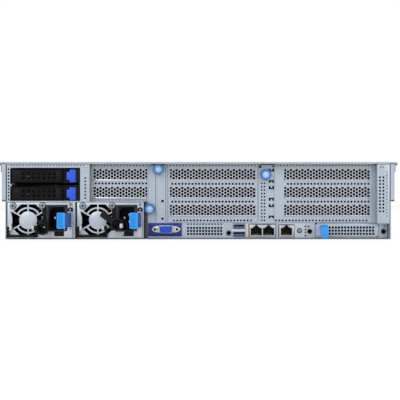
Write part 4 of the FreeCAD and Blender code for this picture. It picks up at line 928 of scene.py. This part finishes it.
def make_inlet(mid, tag):
    """Mains inlet: housing with cut corners, its six-sided socket and three pins."""
    low, high = 8.7, 38.5
    start = mid + 6.85
    corners = [
        (start, low), (start + 24.3, low), (start + 24.3, high - 3.2), (start + 21.8, high - 0.6),
        (start + 19.6, high), (start, high),
    ]
    shell = profile(corners, BACK_Y - 0.8, BACK_Y + 19, "Y", 0.8, 3)
    # Painted shade: a black block lines the shell, so that the socket's cavity is dark.
    cavity_shade = at_back((start + 3.3, -0.4, low + 1.8), (start + 21, 18.4, high - 1.8), 0.8)
    near, base = start + 4.45, (low + high) / 2 - 12
    hole = [
        (near + 4, base), (near + 15.4, base), (near + 15.4, base + 24), (near + 4, base + 24),
        (near, base + 20), (near, base + 4),
    ]
    socket = profile(hole, BACK_Y - 2, BACK_Y + 15.6)
    carve(shell, at_back((start + 3.2, -2, low + 1.7), (start + 21.1, 18.5, high - 1.7)))
    paint(carve(cavity_shade, socket), "black_polycarbonate_and_shade")
    pins = []
    for across, up in ((9.6, 5.6), (9.6, 13.4), (4.0, 10.0)):
        pin = at_back((near + across, 4.5, base + up + 1), (near + across + 2, 15.8, base + up + 3.4), 0.5)
        pins.append(paint(pin, "nickel_plate"))
    piece(
        "mains_inlet" + tag, "charcoal_moulding_and_painted_light", "psu_case" + tag, shell, cavity_shade, *pins,
        slot="black_plastic", instead_of=["psu_inlet" + tag],
    )


def make_supply_fan(x, z, tag):
    """Fan wheel: hub and seven blades."""
    wheel_low, wheel_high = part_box("psu_fan" + tag)
    deep = wheel_low.y / MM, wheel_high.y / MM
    hub = rod((x, sum(deep) / 2, z), 9.1, deep[1] - deep[0], "Y", 40)
    hub = soften(hub, 0.8, 3, 50)
    carve(hub, rod((x, deep[1], z), 1.95, (deep[1] - deep[0]) * 1.7, "Y", 20))
    blade = block((x - 0.6, deep[0] + 0.5, z + 8.6), (x + 0.6, deep[1] - 0.6, z + 18.0))
    turn(blade, 38, "Z", (x, sum(deep) / 2, z + 13))
    apply(blade, "BEVEL", width=0.25 * MM, segments=2)
    blades = around(blade, 7, x, z)
    piece(
        "supply_fan" + tag, "black_polycarbonate_and_shade", "psu_fan" + tag, hub, *blades,
        slot="black_plastic", instead_of=["psu_fan" + tag],
    )


def make_supply_latch(mid, tag):
    """Release latch: ribbed pad, blade and barrel."""
    axis_x = mid + LATCH_AXIS
    pad = block((axis_x - 8.2, LATCH_TIP_Y, 13.2), (axis_x + 0.8, LATCH_TIP_Y + 3, 30.4), 1.2, 4)
    for low in (15.4, 17.9, 20.4, 22.9, 25.4, 27.9):
        pad = join(pad, block((axis_x - 7.0, LATCH_TIP_Y, low), (axis_x - 1.2, LATCH_TIP_Y + 0.4, low + 0.9), 0.18))
    # Painted shade: the blade and barrel take the darker copy of the release blue.
    blade = block((axis_x - 0.75, LATCH_TIP_Y + 1.5, 13.8), (axis_x + 0.75, BACK_Y - 3.2, 29.8), 0.6, 3)
    barrel = rod((axis_x, BACK_Y - 2.2, LATCH_MIDDLE), 2.2, 16, "Z", 28)
    carve(barrel, rod((axis_x, BACK_Y - 2.2, LATCH_MIDDLE), 1.5, 20, "Z", 20))
    blade = join(blade, barrel)
    piece(
        "supply_latch" + tag, "azure_moulding", "psu_latch" + tag, pad, paint(blade, "azure_shaded_blade"),
        slot="latch_blue", instead_of=["psu_latch" + tag],
    )


def make_supply_handle(tag):
    """Bail handle: bar, two legs and the stubs that it turns on."""
    low, high = (Vector(c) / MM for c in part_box("psu_handle" + tag))
    wide = 3.0
    bar = block(low, (high.x, low.y + wide, low.z + wide), 1.0, 3)
    legs = [block((x, low.y, low.z), (x + wide, low.y + wide, 14.2), 1.0, 3) for x in (low.x, high.x - wide)]
    stubs = [rod((x, BACK_Y - 3, BAIL_AXIS_Z), 1.45, 5.4, "X", 20) for x in (low.x + 2.8, high.x - 2.8)]
    piece(
        "supply_handle" + tag, "black_nylon", "psu_handle" + tag, bar, *legs, *stubs,
        slot="black_plastic", instead_of=["psu_handle" + tag],
    )


CLAMP_AT = (((2.6, -1.6), (5.0, -9.0)), ((-6.4, 6.6), (9.6, -4.4)))


def make_clamp(index, mid, z, tag):
    """Nylon cord clamp: push plug, ribbed strap, open ring with its ratchet head, and the strap's loose end."""
    root, ring = CLAMP_AT[index]
    rx, rz = mid + root[0], z + root[1]
    cx, cz = mid + ring[0], z + ring[1]
    seat = (1.8, 0.0)[index]
    plug = rod((rx, BACK_Y - 5 + seat / 2, rz), 2.6, 10 + seat, "Y", 24)
    long = math.hypot(cx - rx, cz - rz)
    lean = math.degrees(math.atan2(cz - rz, cx - rx))
    half = (2.6, 3.5)[index]
    strap = at_back((rx - 2.4, -10.2, rz - half), (rx + long, -7.8, rz + half), 0.8, 3)
    # Painted highlight: the strap's teeth are a lighter grey than the black strap.
    tooth = at_back((rx - 1.2, -11.4, rz - half + 0.4), (rx - 0.3, -9.9, rz + half - 0.4), 0.25, 1)
    teeth = paint(repeat(tooth, max(3, int(long / 1.9)), (1.9, 0, 0)), "charcoal_moulding_and_painted_light")
    strap = turn(join(paint(strap, "black_nylon"), teeth), -lean, "Y", (rx, BACK_Y - 9, rz))
    hoops = [
        band((cx, cz), 5.2, 1.6, BACK_Y - 14.6, 6.6, 0, 350),
        band((cx - 0.9, cz - 0.6), 3.6, 1.1, BACK_Y - 12.4, 4.0, 40, 300),
    ]
    # Painted highlight: the ridges round the ring are a lighter grey.
    ridge = at_back((cx - 0.4, -14.9, cz + 5.6), (cx + 0.4, -8.8, cz + 7.2), 0.15, 1)
    ridges = around(paint(ridge, "charcoal_moulding_and_painted_light"), 18, cx, cz)
    head = at_back((cx - 3.4, -15.4, cz + 4.6), (cx + 3.4, -7.8, cz + 9.0), 0.9, 3)
    carve(head, at_back((cx - 1.8, -17, cz + 6.1), (cx + 1.8, -6, cz + 7.7)))
    head = turn(head, (38, -120)[index], "Y", (cx, 0, cz))
    pad = at_back((cx - 5.6, -7.6, cz - 5.6), (cx + 5.2, -6.4, cz + 5.2), 0.5)
    if index:
        tail = [
            band((cx + 4.2, cz - 3.4), 7.4, 1.0, BACK_Y - 16.0, 3.4, -60, 70),
            band((cx + 8.0, cz + 1.4), 4.0, 0.8, BACK_Y - 13.4, 2.6, 30, 215),
            band((cx + 10.4, cz - 5.0), 5.4, 0.9, BACK_Y - 14.8, 2.6, -100, 95),
            band((cx + 6.0, cz - 2.0), 9.6, 0.9, BACK_Y - 12.6, 2.4, -95, 15),
        ]
        keeper = at_back((cx + 3.2, -17.4, cz - 3.6), (cx + 6.8, -13.0, cz + 1.2), 0.7, 3)
    else:
        tail = [
            band((cx - 1.2, cz + 0.6), 4.6, 0.9, BACK_Y - 16.0, 3.0, 60, 260),
            band((cx + 2.6, cz + 3.2), 4.2, 0.8, BACK_Y - 13.6, 2.6, -30, 160),
        ]
        keeper = at_back((cx + 1.8, -15.4, cz + 1.0), (cx + 3.4, -13.6, cz + 2.4), 0.4)
    paint(keeper, "cream_moulding")
    piece(
        "cord_clamp" + tag, "black_nylon", "psu_case" + tag, plug, strap, *hoops, *ridges, head, pad, *tail, keeper,
        slot="black_plastic", instead_of=["psu_clamp" + tag],
    )


def make_supplies():
    """Both power supplies, piece by piece."""
    for index, (left, (x, z)) in enumerate(zip(PSU_LEFT, FAN_AT)):
        mid, tag = left + PSU_WIDE / 2, "_%d" % (index + 1)
        make_supply_case(left, mid, x, z, tag)
        make_supply_trim(mid, x, z, tag)
        make_inlet(mid, tag)
        make_supply_fan(x, z, tag)
        make_supply_latch(mid, tag)
        make_supply_handle(tag)
        make_clamp(index, mid, z, tag)


CARRIER_AT = (63.4, 43.5)


def make_drive_bay():
    """Drive cage with its holed flanges."""
    left, right = -212.4, -132.8
    low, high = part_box("rear_drive_cage")
    end, top, floor = high.y / MM, high.z / MM, low.z / MM
    flange = at_back((left - 3, 0, floor), (left + 0.8, 1, top), 0.2, 1)
    carve(flange, comb(left - 0.9, 45.2, 10, (0, 0, 3.74), 1.05, BACK_Y - 2, BACK_Y + 3, 10))
    strip = at_back((right, 0, floor), (right + 10.6, 1, top), 0.2, 1)
    carve(strip, comb(-127.0, 46.3, 7, (0, 0, 3.77), 1.1, BACK_Y - 2, BACK_Y + 3, 10))
    brow = at_back((left - 3, 0, top), (right + 10.6, 1, PANEL_TOP), 0.2, 1)
    carve(brow, comb(left + 2, top + 1.9, 25, (3.4, 0, 0), 0.75, BACK_Y - 2, BACK_Y + 3, 8))
    # Painted shade: black sheets behind the holes of the brow and the strip.
    bay_hole_shades = [
        at_back((left + 1, 1.4, top + 0.3), (right, 2.0, 84.0), 0.1, 1),
        at_back((right + 2, 1.4, floor + 1), (right + 10, 2.0, top - 1), 0.1, 1),
    ]
    bay_hole_shades = paint(join(*bay_hole_shades), "duct_and_shade_sheet")
    boss = rod((-126.2, BACK_Y - 0.1, 77.2), 2.2, 0.7, "Y", 28, far=1.7)
    parts = [
        block((left, BACK_Y, floor), (right + 0.8, end, floor + 0.8), 0.15, 1),
        block((left, BACK_Y, top - 0.8), (right + 0.8, end, top), 0.15, 1),
        block((left, BACK_Y + 0.4, floor), (left + 0.8, end, top), 0.15, 1),
        block((right, BACK_Y + 0.4, floor), (right + 0.8, end, top), 0.15, 1),
        block((left, end - 1, floor), (right + 0.8, end, top), 0.15, 1),
        at_back((left + 0.8, 8, 62.2), (left + 3.2, 150, 63.0), 0.1, 1),
        at_back((right - 2.4, 8, 62.2), (right, 150, 63.0), 0.1, 1),
    ]
    lugs = [
        at_back((left, -0.3, low), (left + 2.6, 0.9, high), 0.2, 1)
        for low, high in ((79.9, 82.0), (59.9, 62.0), (42.7, 43.3))
    ]
    piece(
        "bay_steelwork", "galvanised_steel", "root", flange, strip, brow, bay_hole_shades, boss, *parts, *lugs,
        slot="zinc_steel", instead_of=["rear_drive_cage"],
    )


def make_drive_lever(floor, tag):
    """Vented lever of a carrier, with its knuckle, ribs and light."""
    base, tall = floor + 0.8, 14.1
    body = at_back((LEVER_X, 0.8, base), (-153.6, 4.8, base + tall), 0.7, 3)
    hinge = (LEVER_X, BACK_Y + 3, base + tall / 2)
    knuckle = carve(rod(hinge, 2.2, tall, "Z", 28), rod(hinge, 1.55, tall + 4, "Z", 20))
    carve(body, rod(hinge, 1.9, tall + 4, "Z", 20))
    slots = []
    for row in (base + 3.1, base + 8.0):
        slot = at_back((-198.2, -1, row), (-194.2, 4.0, row + 2.8))
        slots.append(repeat(slot, 7, (5.75, 0, 0)))
    carve(body, *slots)
    body = join(body, knuckle)
    rib = at_back((-199.0, 0.1, base + 0.9), (-158.6, 1.2, base + 1.5), 0.2, 1)
    ribs = [rib] + [copy(rib, (0, 0, step)) for step in (5.7, 10.8, 12.0)]
    bars = [
        at_back((-160.2, 0.1, base + 1.2), (-154.4, 1.4, base + tall - 1.2), 0.4),
        at_back((-206.4, 0.3, base + 0.8), (-200.0, 1.4, base + tall - 0.8), 0.4),
    ]
    lens = paint(soften(rod((-190.9, BACK_Y + 0.6, base + 6.6), 0.7, 1.4, "Y", 20), 0.2), "smoked_lens")
    piece(
        "drive_lever" + tag, "black_nylon", "rear_lever" + tag, body, *ribs, *bars, lens,
        slot="black_plastic", instead_of=["rear_lever" + tag],
    )


def make_drive_release(floor, tag):
    """Latch of a carrier: wing, post and grips."""
    middle = floor + 7.85
    wing = at_back((-148.2, 0.8, middle - 4.6), (-137.7, 5.2, middle + 4.6), 0.7, 3)
    post = at_back((-144.9, 0.5, floor + 0.7), (-137.5, 5.2, floor + 15.0), 0.7, 3)
    grip = at_back((-143.9, 0.1, floor + 3.0), (-138.6, 1.0, floor + 3.6), 0.2)
    grips = [grip] + [copy(grip, (0, 0, 1.9 * step)) for step in range(1, 6)]
    piece(
        "drive_release" + tag, "royal_blue_moulding", "rear_latch" + tag, wing, post, *grips,
        slot="carrier_blue", instead_of=["rear_latch" + tag],
    )


def make_rear_drives():
    """Drive cage, and the lever and latch of each carrier."""
    make_drive_bay()
    for index, floor in enumerate(CARRIER_AT, start=1):
        make_drive_lever(floor, "_%d" % index)
        make_drive_release(floor, "_%d" % index)


def make_cover():
    """Sliding lid: folded sides, rear lip, sunk panels and the well of its latch."""
    section = [
        (224.5, 86.6), (224.1, 87.0), (-224.1, 87.0), (-224.5, 86.6), (-224.5, 82.8), (-222.3, 82.8), (-222.3, 75.5),
        (-221.3, 75.5), (-221.3, 83.8), (-223.5, 83.8), (-223.5, 86.0), (223.5, 86.0), (223.5, 83.8), (221.3, 83.8),
        (221.3, 75.5), (222.3, 75.5), (222.3, 82.8), (224.5, 82.8),
    ]
    sheet = profile(section, BACK_Y, 186.7)
    sunk = [block((x, y, 86.5), (x + wide, y + long, 88)) for x, y, wide, long in (
        (-196, -318, 150, 226), (46, -318, 150, 226), (-196, -64, 150, 226), (46, -64, 150, 226), (-22, -318, 44, 200),
    )]
    carve(sheet, *[soften(item, 5.0, 4) for item in sunk], block((-19, -53, 84.8), (19, 7, 88)))
    lip = at_back((-223.4, 0, 84.8), (223.4, 1, 86.3), 0.2, 1)
    well = [
        block((-20, -54, 79.0), (20, 8, 79.8), 0.1, 1),
        block((-20, -54, 79.0), (-19.2, 8, 86.2), 0.1, 1),
        block((19.2, -54, 79.0), (20, 8, 86.2), 0.1, 1),
        block((-20, -54, 79.0), (20, -53.2, 86.2), 0.1, 1),
        block((-20, 7.2, 79.0), (20, 8, 86.2), 0.1, 1),
    ]
    pin = rod((0, 3.0, 84.4), 1.5, 40, "X", 20)
    back = []
    for start, end in ((-131.0, -53.0), (-37.5, 70.0), (88.0, 199.5)):
        fold = at_panel((start, -2.6, 82.3), (end, -1.8, 86.2), 0.15, 1)
        holes = comb(start + 2.2, 83.7, int((end - start - 3) / 3.7) + 1, (3.7, 0, 0), 0.85, PANEL_Y - 4, PANEL_Y, 8)
        back.append(carve(fold, holes))
        shade = at_panel((start + 0.4, -1.75, 82.6), (end - 0.4, -1.2, 85.6), 0.1, 1)
        back.append(paint(shade, "duct_and_shade_sheet"))
    rivets = [
        soften(rod((x, y, 86.8), 2.6, 0.4, "Z", 24), 0.15, 1, 50) for x in (-208, 208) for y in (-330, -150, 30, 172)
    ]
    piece(
        "sliding_lid", "rolled_zinc_lid", "top_cover", sheet, lip, *well, pin, *back, *rivets,
        slot="zinc_steel", instead_of=["top_cover"],
    )


def make_supply_cage():
    """Shelf, divider and wall round the supplies, with the flanges between their faces."""
    high = Vector(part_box("psu_cage")[1]) / MM
    shelf = block((-215.4, BACK_Y, 41.6), (-62.0, high.y, 42.4), 0.15, 1)
    divider = block((-139.2, BACK_Y, 1.2), (-138.4, high.y, 41.8), 0.15, 1)
    wall = block((-62.2, BACK_Y, 1.2), (-61.4, high.y, 42.2), 0.15, 1)
    flanges = [
        at_back((-140.9, -0.2, 1.6), (-139.0, 0.8, 41.8), 0.25),
        at_back((-62.6, -0.1, 1.6), (-61.4, 0.8, 42.0), 0.2),
    ]
    # Painted shade: dark strips in the gaps beside the divider and the wall.
    gap_shade = [
        at_back((-139.0, 0.4, 1.4), (-137.5, 1.2, 41.8), 0.1, 1),
        at_panel((-60.1, -1.6, 1.4), (-57.7, -0.8, 42.0), 0.1, 1),
    ]
    gap_shade = paint(join(*gap_shade), "painted_shade_steel")
    piece(
        "supply_cage", "galvanised_steel", "root", shelf, divider, wall, *flanges, gap_shade,
        slot="zinc_steel", instead_of=["psu_cage"],
    )
    # Painted shade: a dark strip along the tray's bottom edge and dark stubs at the lower ends of the skirts.
    hem_shades = [at_back((-215.6, -0.1, 0.2), (PANEL_SIDES[1], 0.7, 1.2), 0.2, 1)]
    hem_shades += [at_back((x, -0.1, 42.6), (x + 5.2, 1.4, 44.6), 0.3, 1) for x in (-220.8, PANEL_SIDES[1])]
    piece("tray_hem_shade", "painted_shade_steel", "root", *hem_shades, slot="zinc_steel")


def make_video_port():
    """Blue plate, D-shaped shell with its insert and pin holes, and two screw nuts."""
    near = SOCKET_Y
    plate = block((-57.0, near, 2.8), (-18.6, PANEL_Y, 18.0), 0.3)
    body = at_panel((-52.3, -0.4, 4.9), (-20.7, 12, 16.7), 0.3)
    flange = profile(
        [
            (-53.2, 10.8), (-50.6, 13.6), (-46.6, 14.6), (-26.4, 14.6), (-22.4, 13.6),
            (-19.8, 10.8), (-22.4, 8.0), (-26.4, 7.0), (-46.6, 7.0), (-50.6, 8.0),
        ],
        near - 0.7, near + 0.2, "Y", 0.3,
    )
    shell = profile([(-28.0, 15.4), (-45.0, 15.4), (-43.4, 6.2), (-29.6, 6.2)], PANEL_Y - 6, PANEL_Y, "Y", 1.0, 3)
    mouth = profile([(-29.0, 14.5), (-44.0, 14.5), (-42.6, 7.1), (-30.4, 7.1)], PANEL_Y - 7, PANEL_Y - 1, "Y", 0.7, 3)
    carve(shell, mouth)
    flange = paint(join(flange, shell), "nickel_plate")
    insert = profile([(-29.3, 14.2), (-43.7, 14.2), (-42.4, 7.4), (-30.6, 7.4)], PANEL_Y - 5.0, PANEL_Y, "Y", 0.4)
    rows = ((-41.1, 12.8), (-42.1, 10.8), (-41.1, 8.8))
    pins = [comb(x, z, 5, (2.5, 0, 0), 0.62, PANEL_Y - 7, PANEL_Y - 2, 10) for x, z in rows]
    insert = paint(carve(insert, *pins), "video_insert_blue")
    # Painted shade: dark discs deep in the pin holes.
    dark = [comb(x, z, 5, (2.5, 0, 0), 0.66, PANEL_Y - 3.2, PANEL_Y - 2.2, 10) for x, z in rows]
    dark = paint(join(*dark), "black_polycarbonate_and_shade")
    lugs = []
    for x in (-49.0, -24.0):
        nut = soften(rod((x, PANEL_Y - 3.2, 10.8), 2.95, 4.8, "Y", 6), 0.3)
        nut = paint(carve(nut, rod((x, PANEL_Y - 4, 10.8), 1.5, 6, "Y", 20)), "cream_moulding")
        # Painted shade: a dark disc deep in each nut's bore.
        lugs.append(join(nut, paint(rod((x, PANEL_Y - 1.6, 10.8), 1.55, 1.2, "Y", 20), "black_polycarbonate_and_shade")))
    piece(
        "video_port", "video_port_blue", "root", plate, body, flange, insert, dark, *lugs,
        slot="vga_blue", instead_of=["vga_port"],
    )


def make_bus_sockets():
    """Two stacked sockets in one can, with tongues and contacts, and the pale trims beside them."""
    near = SOCKET_Y
    can = block((40.0, near, 2.0), (53.6, PANEL_Y + 12, 17.1), 0.3)
    carve(can, *[block((40.5, near - 1, 2.6 + 8.6 * row), (53.1, PANEL_Y + 11, 7.9 + 8.6 * row)) for row in range(2)])
    tongues = []
    for row in range(2):
        base = 2.6 + 8.6 * row
        # Painted shade: the back, side walls and floor of each socket's cavity are dark navy.
        back = at_panel((40.6, 6.8, base + 0.1), (53.0, 9, base + 5.2))
        tongues.append(paint(back, "navy_socket_shade"))
        tongue = at_panel((41.2, -0.5, base + 0.5), (52.4, 8, base + 2.5), 0.2)
        tongues.append(paint(tongue, "usb_blue"))
        shade = at_panel((40.6, 0.4, base + 0.05), (53.0, 7, base + 0.4), 0.05, 1)
        tongues.append(paint(shade, "navy_socket_shade"))
        walls = [at_panel((x, 0.2, base), (x + 0.25, 8, base + 5.2)) for x in (40.5, 52.85)]
        tongues.append(paint(join(*walls), "navy_socket_shade"))
        for step in range(4):
            pin = at_panel((42.6 + step * 2.4, 0.6, base + 2.5), (43.6 + step * 2.4, 6, base + 2.75))
            tongues.append(paint(pin, "gold_flash"))
    bar = block((38.0, near - 0.5, 8.2), (53.8, near + 0.3, 10.9), 0.4)
    side = block((54.0, near - 0.2, 2.2), (57.2, PANEL_Y + 0.2, 16.8), 0.3)
    carve(side, *[block((54.9, near - 1, low), (56.3, near + 0.3, low + 2.6)) for low in (3.4, 8.2, 12.8)])
    trims = [paint(item, "cream_moulding") for item in (bar, side)]
    piece("bus_sockets", "nickel_plate", "root", can, *tongues, *trims, slot="socket_steel", instead_of=["usb_ports"])


def make_network_sockets():
    """A double and a single shell with stepped mouths, dark walls, contacts, lights and latches."""
    near = SOCKET_Y
    parts = []
    for left, wide, mouths, tall in ((58.4, 29.6, (59.8, 73.8), 14.2), (92.3, 16.6, (94.2,), 13.4)):
        shell = block((left, near, 2.0), (left + wide, PANEL_Y + 14, 2.0 + tall), 0.35)
        cutters = []
        for x in mouths:
            outline = [
                (x, 4.0), (x, 12.4), (x + 2.7, 12.4), (x + 2.7, 13.7), (x + 4.5, 13.7), (x + 4.5, 15.1),
                (x + 8.3, 15.1), (x + 8.3, 13.7), (x + 10.1, 13.7), (x + 10.1, 12.4), (x + 12.8, 12.4), (x + 12.8, 4.0),
            ]
            cutters.append(profile(outline, near - 1, PANEL_Y + 13))
        parts.append(carve(shell, *cutters))
        for x in mouths:
            back = at_panel((x - 0.2, 5.6, 3.8), (x + 13.0, 12.8, 15.2))
            parts.append(paint(back, "black_polycarbonate_and_shade"))
            walls = [
                block((x - 0.1, near + 0.3, 3.9), (x + 0.4, PANEL_Y + 6, 12.5)),
                block((x + 12.4, near + 0.3, 3.9), (x + 12.9, PANEL_Y + 6, 12.5)),
                block((x + 0.3, near + 0.3, 3.9), (x + 12.5, PANEL_Y + 6, 4.3)),
                block((x + 0.3, near + 0.6, 12.1), (x + 2.8, PANEL_Y + 6, 12.5)),
                block((x + 10.0, near + 0.6, 12.1), (x + 12.5, PANEL_Y + 6, 12.5)),
                block((x + 4.4, near + 0.6, 14.9), (x + 8.4, PANEL_Y + 6, 15.2)),
            ]
            parts.append(paint(join(*walls), "black_polycarbonate_and_shade"))
            pin = paint(at_panel((x + 2.9, 4.9, 4.4), (x + 3.15, 5.8, 5.4)), "gold_flash")
            parts.append(repeat(pin, 8, (1.0, 0, 0)))
            for light in (x + 0.3, x + 10.5):
                lens = block((light, near - 0.12, 13.1), (light + 2.0, near + 0.3, 14.7), 0.15)
                parts.append(paint(lens, "milky_lens"))
            latch = block((x + 4.9, near - 0.1, 15.3), (x + 7.9, near + 0.3, 15.9), 0.1, 1)
            parts.append(paint(latch, "black_polycarbonate_and_shade"))
    piece("network_sockets", "nickel_plate", "root", *parts, slot="socket_steel", instead_of=["network_ports"])


def make_locator_button():
    """Identification button with its pale centre."""
    x, z = BUTTON_AT
    cap = soften(rod((x, PANEL_Y + 2.6, z), 2.6, 7.6, "Y", 40), 0.4, 3, 50)
    sink(cap, facing_back, 0.5, -0.3)
    dot = paint(soften(rod((x, PANEL_Y - 0.9, z), 1.7, 0.7, "Y", 28), 0.2), "passivated_steel")
    dot = join(dot, paint(rod((x, PANEL_Y - 1.2, z), 0.6, 0.3, "Y", 16), "black_polycarbonate_and_shade"))
    piece("locator_button", "button_teal", "id_button", cap, dot, slot="button_teal", instead_of=["id_button"])


def make_card_tray():
    """Network card: holed face with its film and pull tab, board and cooler."""
    face = at_panel((133.6, -0.6, 2.0), (205.2, 0.8, 17.6), 0.3)
    grid = comb(149.9, 5.7, 15, (3.53, 0, 0), 1.45, PANEL_Y - 3, PANEL_Y + 3, 10)
    carve(face, repeat(grid, 3, (0, 0, 3.55)))
    carve(face, at_panel((133.0, -2, 16.4), (135.4, 2, 18)), at_panel((203.4, -2, 1.5), (206, 2, 3.0)))
    film = paint(at_panel((134.8, -0.75, 3.0), (139.0, -0.5, 16.2), 0.05, 1), "lilac_label_film")
    # Painted shade: a black sheet behind the holed face.
    grid_shade = paint(at_panel((146.0, 9, 3.7), (203.6, 10.4, 16.8), 0.3, 1), "duct_and_shade_sheet")
    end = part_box("network_card")[1].y / MM
    board = paint(block((135.1, PANEL_Y + 0.4, 2.0), (203.7, end, 3.6), 0.1, 1), "green_solder_mask")
    chip = paint(at_panel((155.6, 40, 3.6), (183.6, 68, 11.6), 0.4), "extruded_aluminium")
    fin = at_panel((156.2, 39, 5.6), (157.4, 69, 13))
    carve(chip, repeat(fin, 12, (2.3, 0, 0)))
    neck = at_back((139.2, -0.1, 14.2), (146.4, 12, 15.8), 0.4)
    grip = at_back((139.2, -0.1, 0.9), (146.4, 1.7, 15.8), 0.6, 3)
    tab = paint(join(neck, grip), "azure_moulding")
    piece(
        "network_card_tray", "galvanised_steel", "network_card", face, film, grid_shade, board, chip, tab,
        slot="light_steel", instead_of=["network_card"],
    )


# Operators


class RACK_OT_stage(bpy.types.Operator):
    """Floor, lamps, white surround and camera"""

    bl_idname = "rack.stage"
    bl_label = "Stage"

    def execute(self, context):
        make_stage()
        return {"FINISHED"}


class RACK_OT_finishes(bpy.types.Operator):
    """Materials of the server, given to every node of the frame"""

    bl_idname = "rack.finishes"
    bl_label = "Finishes"

    def execute(self, context):
        make_materials(context.scene.rack_colours)
        dress_nodes()
        return {"FINISHED"}


class RACK_OT_slot_covers(bpy.types.Operator):
    """Vented covers of the eight expansion slots"""

    bl_idname = "rack.slot_covers"
    bl_label = "Slot covers"

    def execute(self, context):
        make_slot_covers(context.scene.rack_sizes)
        return {"FINISHED"}


class RACK_OT_risers(bpy.types.Operator):
    """Riser frames with their cards"""

    bl_idname = "rack.risers"
    bl_label = "Risers"

    def execute(self, context):
        make_risers(context.scene.rack_sizes)
        return {"FINISHED"}


class RACK_OT_rear_panel(bpy.types.Operator):
    """Rear panel with its port cut-outs and vents"""

    bl_idname = "rack.rear_panel"
    bl_label = "Rear panel"

    def execute(self, context):
        make_rear_panel(context.scene.rack_sizes)
        return {"FINISHED"}


class RACK_OT_thumbscrews(bpy.types.Operator):
    """Captive thumbscrews of the riser frames"""

    bl_idname = "rack.thumbscrews"
    bl_label = "Thumbscrews"

    def execute(self, context):
        make_thumbscrews(context.scene.rack_sizes)
        return {"FINISHED"}


class RACK_OT_supplies(bpy.types.Operator):
    """Both power supplies with their guards, inlets, latches, handles and clamps"""

    bl_idname = "rack.supplies"
    bl_label = "Power supplies"

    def execute(self, context):
        make_supplies()
        return {"FINISHED"}


class RACK_OT_rear_drives(bpy.types.Operator):
    """Rear drive cage, levers and latches"""

    bl_idname = "rack.rear_drives"
    bl_label = "Rear drives"

    def execute(self, context):
        make_rear_drives()
        return {"FINISHED"}


class RACK_OT_cover(bpy.types.Operator):
    """Sliding lid with its lip, sunk panels and latch well"""

    bl_idname = "rack.cover"
    bl_label = "Lid"

    def execute(self, context):
        make_cover()
        return {"FINISHED"}


class RACK_OT_supply_cage(bpy.types.Operator):
    """Cage round the power supplies"""

    bl_idname = "rack.supply_cage"
    bl_label = "Supply cage"

    def execute(self, context):
        make_supply_cage()
        return {"FINISHED"}


class RACK_OT_ports(bpy.types.Operator):
    """Video, bus and network sockets, the button and the network card"""

    bl_idname = "rack.ports"
    bl_label = "Ports"

    def execute(self, context):
        make_video_port()
        make_bus_sockets()
        make_network_sockets()
        make_locator_button()
        make_card_tray()
        return {"FINISHED"}


OPERATORS = [
    RACK_OT_stage,
    RACK_OT_finishes,
    RACK_OT_slot_covers,
    RACK_OT_risers,
    RACK_OT_rear_panel,
    RACK_OT_thumbscrews,
    RACK_OT_supplies,
    RACK_OT_rear_drives,
    RACK_OT_ports,
    RACK_OT_cover,
    RACK_OT_supply_cage,
]


class RACK_PT_panel(bpy.types.Panel):
    """Sizes, colours and pieces of the server"""

    bl_idname = "RACK_PT_panel"
    bl_label = "Rack server"
    bl_space_type = "VIEW_3D"
    bl_region_type = "UI"
    bl_category = "Server"

    def draw(self, context):
        for group in (context.scene.rack_sizes, context.scene.rack_colours):
            for name in group.bl_rna.properties.keys():
                if name not in ("rna_type", "name"):
                    self.layout.prop(group, name)
        for operator in OPERATORS:
            self.layout.operator(operator.bl_idname)


CLASSES = [RackSizes, RackColours, *OPERATORS, RACK_PT_panel]


def register():
    """Adds the classes and the scene's own sizes and colours."""
    for item in CLASSES:
        bpy.utils.register_class(item)
    bpy.types.Scene.rack_sizes = bpy.props.PointerProperty(type=RackSizes)
    bpy.types.Scene.rack_colours = bpy.props.PointerProperty(type=RackColours)


def unregister():
    """Takes them away again."""
    del bpy.types.Scene.rack_colours
    del bpy.types.Scene.rack_sizes
    for item in reversed(CLASSES):
        bpy.utils.unregister_class(item)


def main():
    """Builds the stage and every piece."""
    register()
    for operator in OPERATORS:
        group, name = operator.bl_idname.split(".")
        getattr(getattr(bpy.ops, group), name)()


if __name__ == "__main__":
    main()
